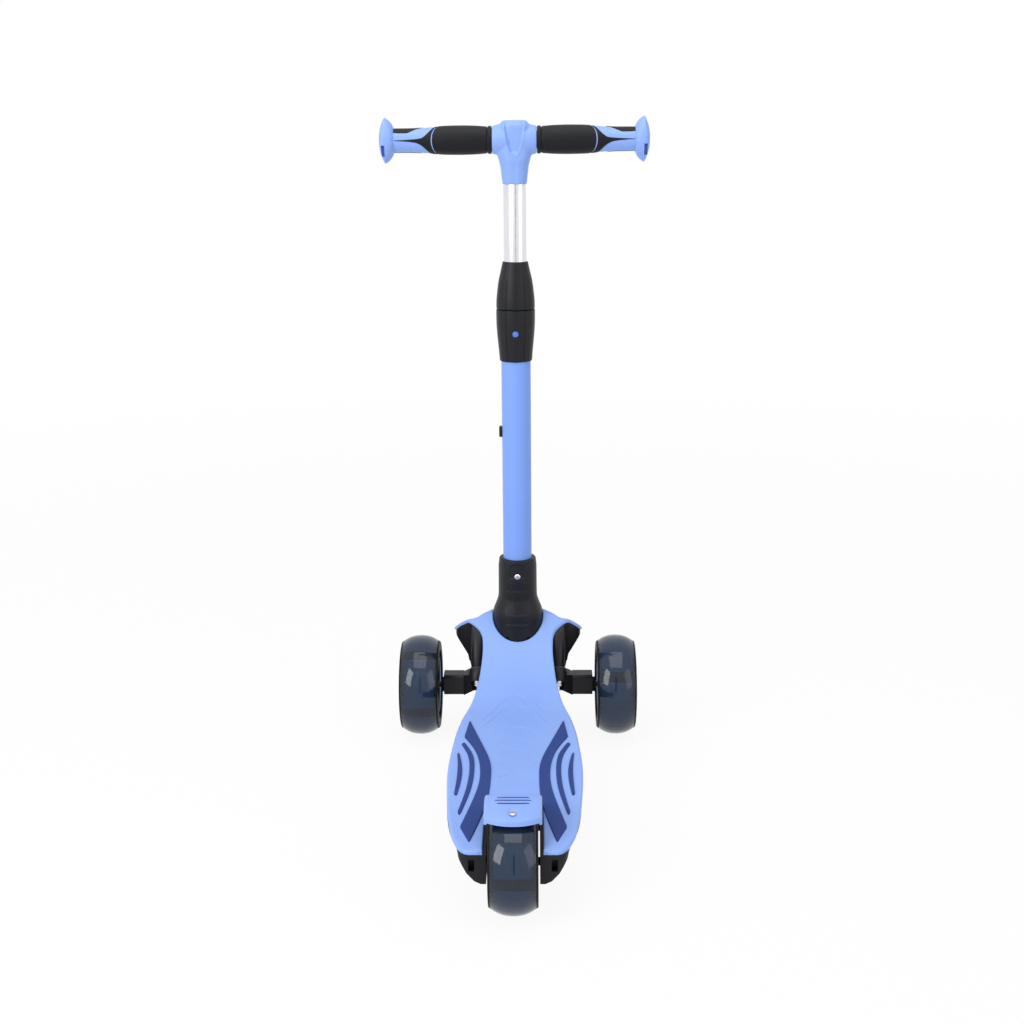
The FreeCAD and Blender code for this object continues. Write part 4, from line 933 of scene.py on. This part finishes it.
GRIP_BLUE = smooth([(24.8, 12.4), (80, 14.2), (90, 14.1), (100, 13.4), (115, 12.8), (134, 12.9)])
GRIP_BLACK = smooth([(24.8, 14.2), (32, 14.6), (45, 15.5), (60, 15.8), (75, 15.6), (88, 14.8), (100, 13.9), (115, 13.2),
                     (135, 13.1)])
SPIKE_UP = smooth([(80, 1.7), (86, 1.5), (90, 1.15), (95, 0.68), (100, 0.33), (103, 0.2), (112, 0.12), (136, 0.03)])
SPIKE_DOWN = smooth([(86, 1.7), (91, 1.5), (95, 1.08), (100, 0.6), (105, 0.32), (109, 0.2), (118, 0.1), (136, 0.02)])
TOP_PATCH = smooth([(101, 1.62), (104, 1.42), (108, 1.2), (114, 0.85), (120, 0.64), (128, 0.64), (136, 0.7)])
LOW_PATCH = smooth([(101, 1.62), (106, 1.5), (114, 1.4), (124, 1.36), (136, 1.42)])


class SCOOTER_OT_grips(bpy.types.Operator):
    """Two-colour grips and the leaf-shaped safety flanges"""
    bl_idname = "scooter.grips"
    bl_label = "Grips"

    def sleeve(self, side, finish, name):
        start, end = 25.2, 136.0

        def black(a, t):
            """Outer radius of the rubber; it dives under the hard sleeve outside its own outline."""
            height = np.arcsin(np.sin(t))
            up = np.where(height > 0, SPIKE_UP(a) - height, SPIKE_DOWN(a) + height)
            patch = np.where(height > 0, height - TOP_PATCH(a), -height - LOW_PATCH(a))
            patch = np.where(a > 101, patch, -1)
            whole = (84.5 - a) / 14
            inside = np.maximum(np.maximum(up, patch), whole) * 14
            cover = ramp(inside, -0.45, 0.45)
            radius = (GRIP_BLUE(a) - 0.9) * (1 - cover) + (GRIP_BLACK(a) + 0.12) * cover
            ring = 0.7 * (1 - ramp(np.abs(a - 27.1), 1.4, 2.0))
            groove = 0.9 * np.exp(-((a - 30.2) / 0.55) ** 2)
            seam_x = 91.5 - 7.0 * (1 - np.cos(height))
            seam = 0.9 * np.exp(-((a - seam_x) / 0.7) ** 2)
            return radius + ring - groove - seam * cover - rounding(a - start, 0.6)

        def blue(a, t):
            return GRIP_BLUE(a) + 0.12 - rounding(end - a, 0.3)

        place = along_bar(side)
        along = np.concatenate([clustered(start, 33, 26, 0.3), np.linspace(33.4, 83, 40), np.linspace(83.4, end, 130)])
        turned(place, along, black, 12.0, 320).piece(
            "grip_rubber_" + name, "handlebar", [finish["Grip rubber"]], "black_rubber", ["grip_" + name], 60)
        along = np.linspace(78, end, 50)
        return turned(place, along, blue, 12.0, 160)

    def flange(self, form, side):
        """Lens with a sharp rim, taller than it is deep, creased across the middle."""
        steps = 120
        angles = np.linspace(0, TURN, steps, endpoint=False)
        tall, deep, root = 24.6, 16.8, 12.6
        rows = []
        inner = [(root, 133.6), (15.5, 134.9), (18.5, 136.5), (21, 138.5), (23, 140.8), (24.2, 142.7), (24.5, 143.6)]
        outer = [(24.6, 144.1), (24.3, 144.7), (23, 145.4), (20, 146.9), (15, 148.8), (9, 150.0), (3, 150.4)]
        for radius, x in inner + outer:
            share = max(radius - root, 0) / (tall - root)
            back = radius * (1 - share) + radius * deep / tall * share
            back = min(back, radius)
            px = np.full(steps, float(x))
            up = radius * np.sin(angles)
            crease = 0.7 * np.exp(-(up / 1.2) ** 2) * ramp(radius, root, root + 3)
            px = px + (crease if x < 144 else -crease)
            rows.append(np.stack([side * px, STEM_Y - back * np.cos(angles), BAR_Z + up], -1))
        form.lattice(rows, around=True)
        form.cap(rows[-1], (side * 150.4, STEM_Y, BAR_Z))
        form.cap(rows[0], (side * 133.5, STEM_Y, BAR_Z))
        return form

    def execute(self, context):
        finish = finishes(context)
        for name, side in (("left", -1), ("right", 1)):
            self.sleeve(side, finish, name).piece(
                "grip_sleeve_" + name, "handlebar", [finish["Moulded blue"]], "blue_plastic", (), 60)
            cap = self.flange(Form(), side).piece(
                "grip_flange_" + name, "handlebar", [finish["Moulded blue"]], "blue_plastic", ["grip_core_" + name], 40)
            x0, x1 = sorted((side * 143.4, side * 147.2))
            cut(cap, (x0, x1, STEM_Y - 20, STEM_Y - 6, BAR_Z - 17, BAR_Z - 5))
        return {"FINISHED"}


# ---- Wheels -------------------------------------------------------------------
class SCOOTER_OT_wheels(bpy.types.Operator):
    """Clear cast tyres and the barred cores that show through them"""
    bl_idname = "scooter.wheels"
    bl_label = "Wheels"

    def execute(self, context):
        finish = finishes(context)
        wheels = (("front_left", "front_tyre_left", "wheel_left", 42.0, -0.25),
                  ("front_right", "front_tyre_right", "wheel_right", 42.0, 0.15),
                  ("rear", "rear_tyre", "wheel_rear", 34.0, -0.45))
        for name, node, body, bore, start in wheels:
            low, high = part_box(node)
            centre = middle(node)
            half, radius = (high.x - low.x) / 2 / MM, (high.z - low.z) / 2 / MM
            place = round_axle(centre.x, centre.y - FRONT_Y, centre.z)

            def tread(a, t):
                share = np.clip(np.abs(a) / (half - 1.2), 0, 1)
                crown = radius - 7.4 * share ** 2.3
                parting = 0.12 * np.exp(-(a / 0.22) ** 2)
                return crown + 0.6 * parting - rounding(half - np.abs(a), 1.2) - 0.08

            wall = half - 2.2
            along = np.concatenate([clustered(-wall, -0.8, 30, 0.6), np.linspace(-0.5, 0.5, 7), clustered(0.8, wall, 30, 0.6)])
            turned(place, along, tread, bore - 0.1, 200).piece(
                "tyre_" + name, body, [finish["Smoke tyre"]], "clear_tyre", [node], 50)

            wide = half - 5.4
            bars = 4

            def core(a, t):
                bar = np.abs((t / TURN * bars + start) % 1 - 0.5) * TURN / bars * bore
                panel = ramp(bar, 5.0, 5.8) * (1 - ramp(np.abs(a), wide - 2.2, wide - 1.6))
                tooth = (np.abs((t / TURN * 28) % 1 - 0.5) > 0.22) * (1 - ramp(np.abs(a), wide - 1.0, wide - 0.6))
                panel = np.maximum(panel, ramp(bar, 5.0, 5.8) * tooth * ramp(np.abs(a), wide - 2.6, wide - 2.2))
                return bore + 0.15 + 1.4 * panel

            rows = np.concatenate([np.linspace(-wide - 2, -wide, 4), np.linspace(-wide + 0.3, -wide + 4, 12),
                                   np.linspace(-wide + 5, wide - 5, 20), np.linspace(wide - 4, wide - 0.3, 12),
                                   np.linspace(wide, wide + 2, 4)])
            middle_rows = (rows[:-1] + rows[1:]) / 2
            mid_angles = (np.arange(480) + 0.5) / 480 * TURN
            grid = core(middle_rows[:, None], mid_angles[None, :])

            def shade(i, k):
                return 0 if i < len(grid) and grid[i, k] > bore + 1.0 else 1

            form = turned(place, rows, core, bore + 0.02, 480, finish=shade)
            for s in (-1, 1):
                edge = s * (wall + np.array([0.02, 0.6, 1.1, 1.5, 1.8, 2.0, 2.2]))
                turned(place, edge, tread, bore - 0.1, 200, finish=1, form=form)
            form.piece(
                "tyre_core_" + name, body, [finish["Tyre core"], finish["Tyre core dark"]], "hub_plastic", (), 50)
        return {"FINISHED"}


# ---- Carried-over parts -------------------------------------------------------
CARRIED = {
    "Moulded black": ["deck_base", "tube_plug", "fold_latch"],
    "Navy pads": ["nose_trim"],
    "Polished tube": ["inner_tube"],
    "Button blue": ["height_button"],
    "Tyre core dark": ["front_hub_left", "front_hub_right", "rear_hub"],
    "Bright screws": ["deck_screws", "bracket_bolts", "kingpin_left", "kingpin_right", "brake_screw", "boot_screw",
                      "t_joint_screw", "rear_axle", "rear_axle_nut"],
    "Dull steel": ["front_bearings_left", "front_bearings_right", "rear_bearings", "brake_plate", "brake_pin",
                   "brake_spring", "latch_spring", "latch_pin", "fold_pin", "bar_tube", "button_spring"],
    "Black coated steel": ["fold_bracket", "stem_foot", "truck_housing", "knuckle_left", "knuckle_right", "tie_rod",
                           "tie_pin_left", "tie_pin_right", "front_axle_left", "front_axle_right",
                           "front_axle_nut_left", "front_axle_nut_right"],
    "Bush rubber": ["kingpin_bush_left", "kingpin_bush_right", "clamp_collet"],
}


class SCOOTER_OT_carried_over(bpy.types.Operator):
    """Finishes and broken edges on the parts kept from the CAD model"""
    bl_idname = "scooter.carried_over"
    bl_label = "Kept parts"

    def execute(self, context):
        width = context.scene.scooter_sizes.edge_break
        finish = finishes(context)
        for material, nodes in CARRIED.items():
            for name in nodes:
                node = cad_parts[name]
                node.data.materials.clear()
                node.data.materials.append(finish[material])
                weld = node.modifiers.new("Weld", "WELD")
                weld.merge_threshold = 5e-6
                edge = node.modifiers.new("Edge break", "BEVEL")
                edge.width = width
                edge.segments = 2
                edge.limit_method = "ANGLE"
                edge.angle_limit = math.radians(40)
                edge.use_clamp_overlap = True
                edge.harden_normals = True
        return {"FINISHED"}


# ---- Stage --------------------------------------------------------------------
class SCOOTER_OT_stage(bpy.types.Operator):
    """Pale floor, soft studio light and the camera behind the scooter"""
    bl_idname = "scooter.stage"
    bl_label = "Stage"

    def soft_light(self, name, place, aim, size, power):
        data = bpy.data.lights.new(name, "AREA")
        data.shape = "RECTANGLE"
        data.size, data.size_y = size
        data.energy = power
        light = bpy.data.objects.new(name, data)
        light.location = place
        light.rotation_euler = (Vector(aim) - Vector(place)).to_track_quat("-Z", "Y").to_euler()
        bpy.context.scene.collection.objects.link(light)
        light.visible_camera = False
        return light

    def plate(self, name, corners, material):
        mesh = bpy.data.meshes.new(name)
        mesh.from_pydata(corners, [], [tuple(range(len(corners)))])
        mesh.materials.append(material)
        made = bpy.data.objects.new(name, mesh)
        bpy.context.scene.collection.objects.link(made)
        return made

    def execute(self, context):
        scene = context.scene
        scene.view_settings.view_transform = "Standard"
        floor = Shader("Pale floor")
        cloud = floor.noise(0.6, 1)
        pale = floor.blend(cloud, (0.86, 0.86, 0.86, 1), (0.88, 0.88, 0.88, 1))
        matt = floor.node("ShaderNodeBsdfPrincipled", {}, {"Base Color": pale, "Roughness": 0.9})
        bright = floor.node("ShaderNodeEmission", {}, {"Color": (1, 1, 1, 1), "Strength": 1.0})
        path = floor.node("ShaderNodeLightPath", output="Is Camera Ray")
        glossy = floor.node("ShaderNodeLightPath", output="Is Glossy Ray")
        clear = floor.node("ShaderNodeLightPath", output="Is Transmission Ray")
        distance = floor.node("ShaderNodeVectorMath", {"operation": "LENGTH"}, [floor.place()], "Value")
        level = floor.node("ShaderNodeMapRange", {}, [distance, 0.8, 2.6, 0.92, 1.0])
        share = level * path.math("MAXIMUM", path, glossy.math("MAXIMUM", glossy, clear))
        both = floor.node("ShaderNodeMixShader", {}, [share, matt, bright])
        floor.node("ShaderNodeOutputMaterial", {}, {"Surface": both})
        reach = 12.0
        self.plate("floor", [(-reach, -reach, 0), (reach, -reach, 0), (reach, reach, 0), (-reach, reach, 0)],
                   floor.material)

        world = bpy.data.worlds.new("Studio")
        scene.world = world
        world.use_nodes = True
        tree = world.node_tree
        tree.nodes.clear()
        studio = Shader.__new__(Shader)
        studio.tree = tree
        path = studio.node("ShaderNodeLightPath", output="Is Camera Ray")
        glossy = studio.node("ShaderNodeLightPath", output="Is Glossy Ray")
        clear = studio.node("ShaderNodeLightPath", output="Is Transmission Ray")
        seen = path.math("MAXIMUM", path, glossy.math("MAXIMUM", glossy, clear))
        level = 0.5
        back = studio.node("ShaderNodeBackground", {}, {"Color": (1, 1, 1, 1), "Strength": level + (1 - level) * seen})
        studio.node("ShaderNodeOutputWorld", {}, {"Surface": back})

        low, high = (Vector(corner) for corner in CAD_BOX)
        heart = (low + high) / 2
        self.soft_light("Key", (-1.7, -1.5, 1.5), heart, (1.2, 1.6), 34)
        self.soft_light("Fill", (1.8, -1.2, 1.1), heart, (1.2, 1.6), 8)
        self.soft_light("Top", (0.0, -0.2, 2.2), heart, (1.6, 1.6), 16)

        # Painted reflection: a dark card hidden from the camera, from diffuse light and from shadows, so it shows only
        # as dark reflections in glossy surfaces such as the polished tube.
        dark = Shader("Dark card")
        shade = dark.noise(3, 1)
        dark.surface(Base_Color=dark.blend(shade, (0.02, 0.02, 0.02, 1), (0.03, 0.03, 0.03, 1)), Roughness=0.9)
        card_y = -2.6
        card = self.plate("dark_card", [(-0.1, card_y, 0.1), (0.16, card_y, 0.1), (0.16, card_y, 2.2), (-0.1, card_y, 2.2)],
                          dark.material)
        card.visible_camera = False
        card.visible_diffuse = False
        card.visible_shadow = False

        camera = bpy.data.cameras.new("Camera")
        camera.lens = 49.2
        camera.sensor_width = 36
        made = bpy.data.objects.new("Camera", camera)
        made.location = (0.0225, -1.389, 0.718)
        aim = Euler((math.radians(90 - 15.5), 0, math.radians(1.02))).to_matrix()
        made.rotation_euler = (aim @ Matrix.Rotation(math.radians(-0.5), 3, "Z")).to_euler()
        scene.collection.objects.link(made)
        scene.camera = made
        return {"FINISHED"}


OPERATORS = (
    SCOOTER_OT_deck_cover, SCOOTER_OT_deck_pads, SCOOTER_OT_fender, SCOOTER_OT_boot, SCOOTER_OT_clamp,
    SCOOTER_OT_t_joint, SCOOTER_OT_grips, SCOOTER_OT_wheels, SCOOTER_OT_carried_over, SCOOTER_OT_stage,
)


class SCOOTER_PT_pieces(bpy.types.Panel):
    """Lists the scooter's pieces"""
    bl_idname = "SCOOTER_PT_pieces"
    bl_label = "Kick scooter"
    bl_space_type = "VIEW_3D"
    bl_region_type = "UI"
    bl_category = "Scooter"

    def draw(self, context):
        for operator in OPERATORS:
            self.layout.operator(operator.bl_idname)
        for group in (context.scene.scooter_sizes, context.scene.scooter_colours):
            for name in group.bl_rna.properties.keys():
                if name not in ("rna_type", "name"):
                    self.layout.prop(group, name)


CLASSES = (ScooterColours, ScooterSizes, SCOOTER_PT_pieces) + OPERATORS


def register():
    for kind in CLASSES:
        bpy.utils.register_class(kind)
    bpy.types.Scene.scooter_colours = bpy.props.PointerProperty(type=ScooterColours)
    bpy.types.Scene.scooter_sizes = bpy.props.PointerProperty(type=ScooterSizes)


def unregister():
    del bpy.types.Scene.scooter_sizes
    del bpy.types.Scene.scooter_colours
    for kind in reversed(CLASSES):
        bpy.utils.unregister_class(kind)


def main():
    register()
    for operator in OPERATORS:
        group, name = operator.bl_idname.split(".")
        getattr(getattr(bpy.ops, group), name)()


if __name__ == "__main__":
    main()
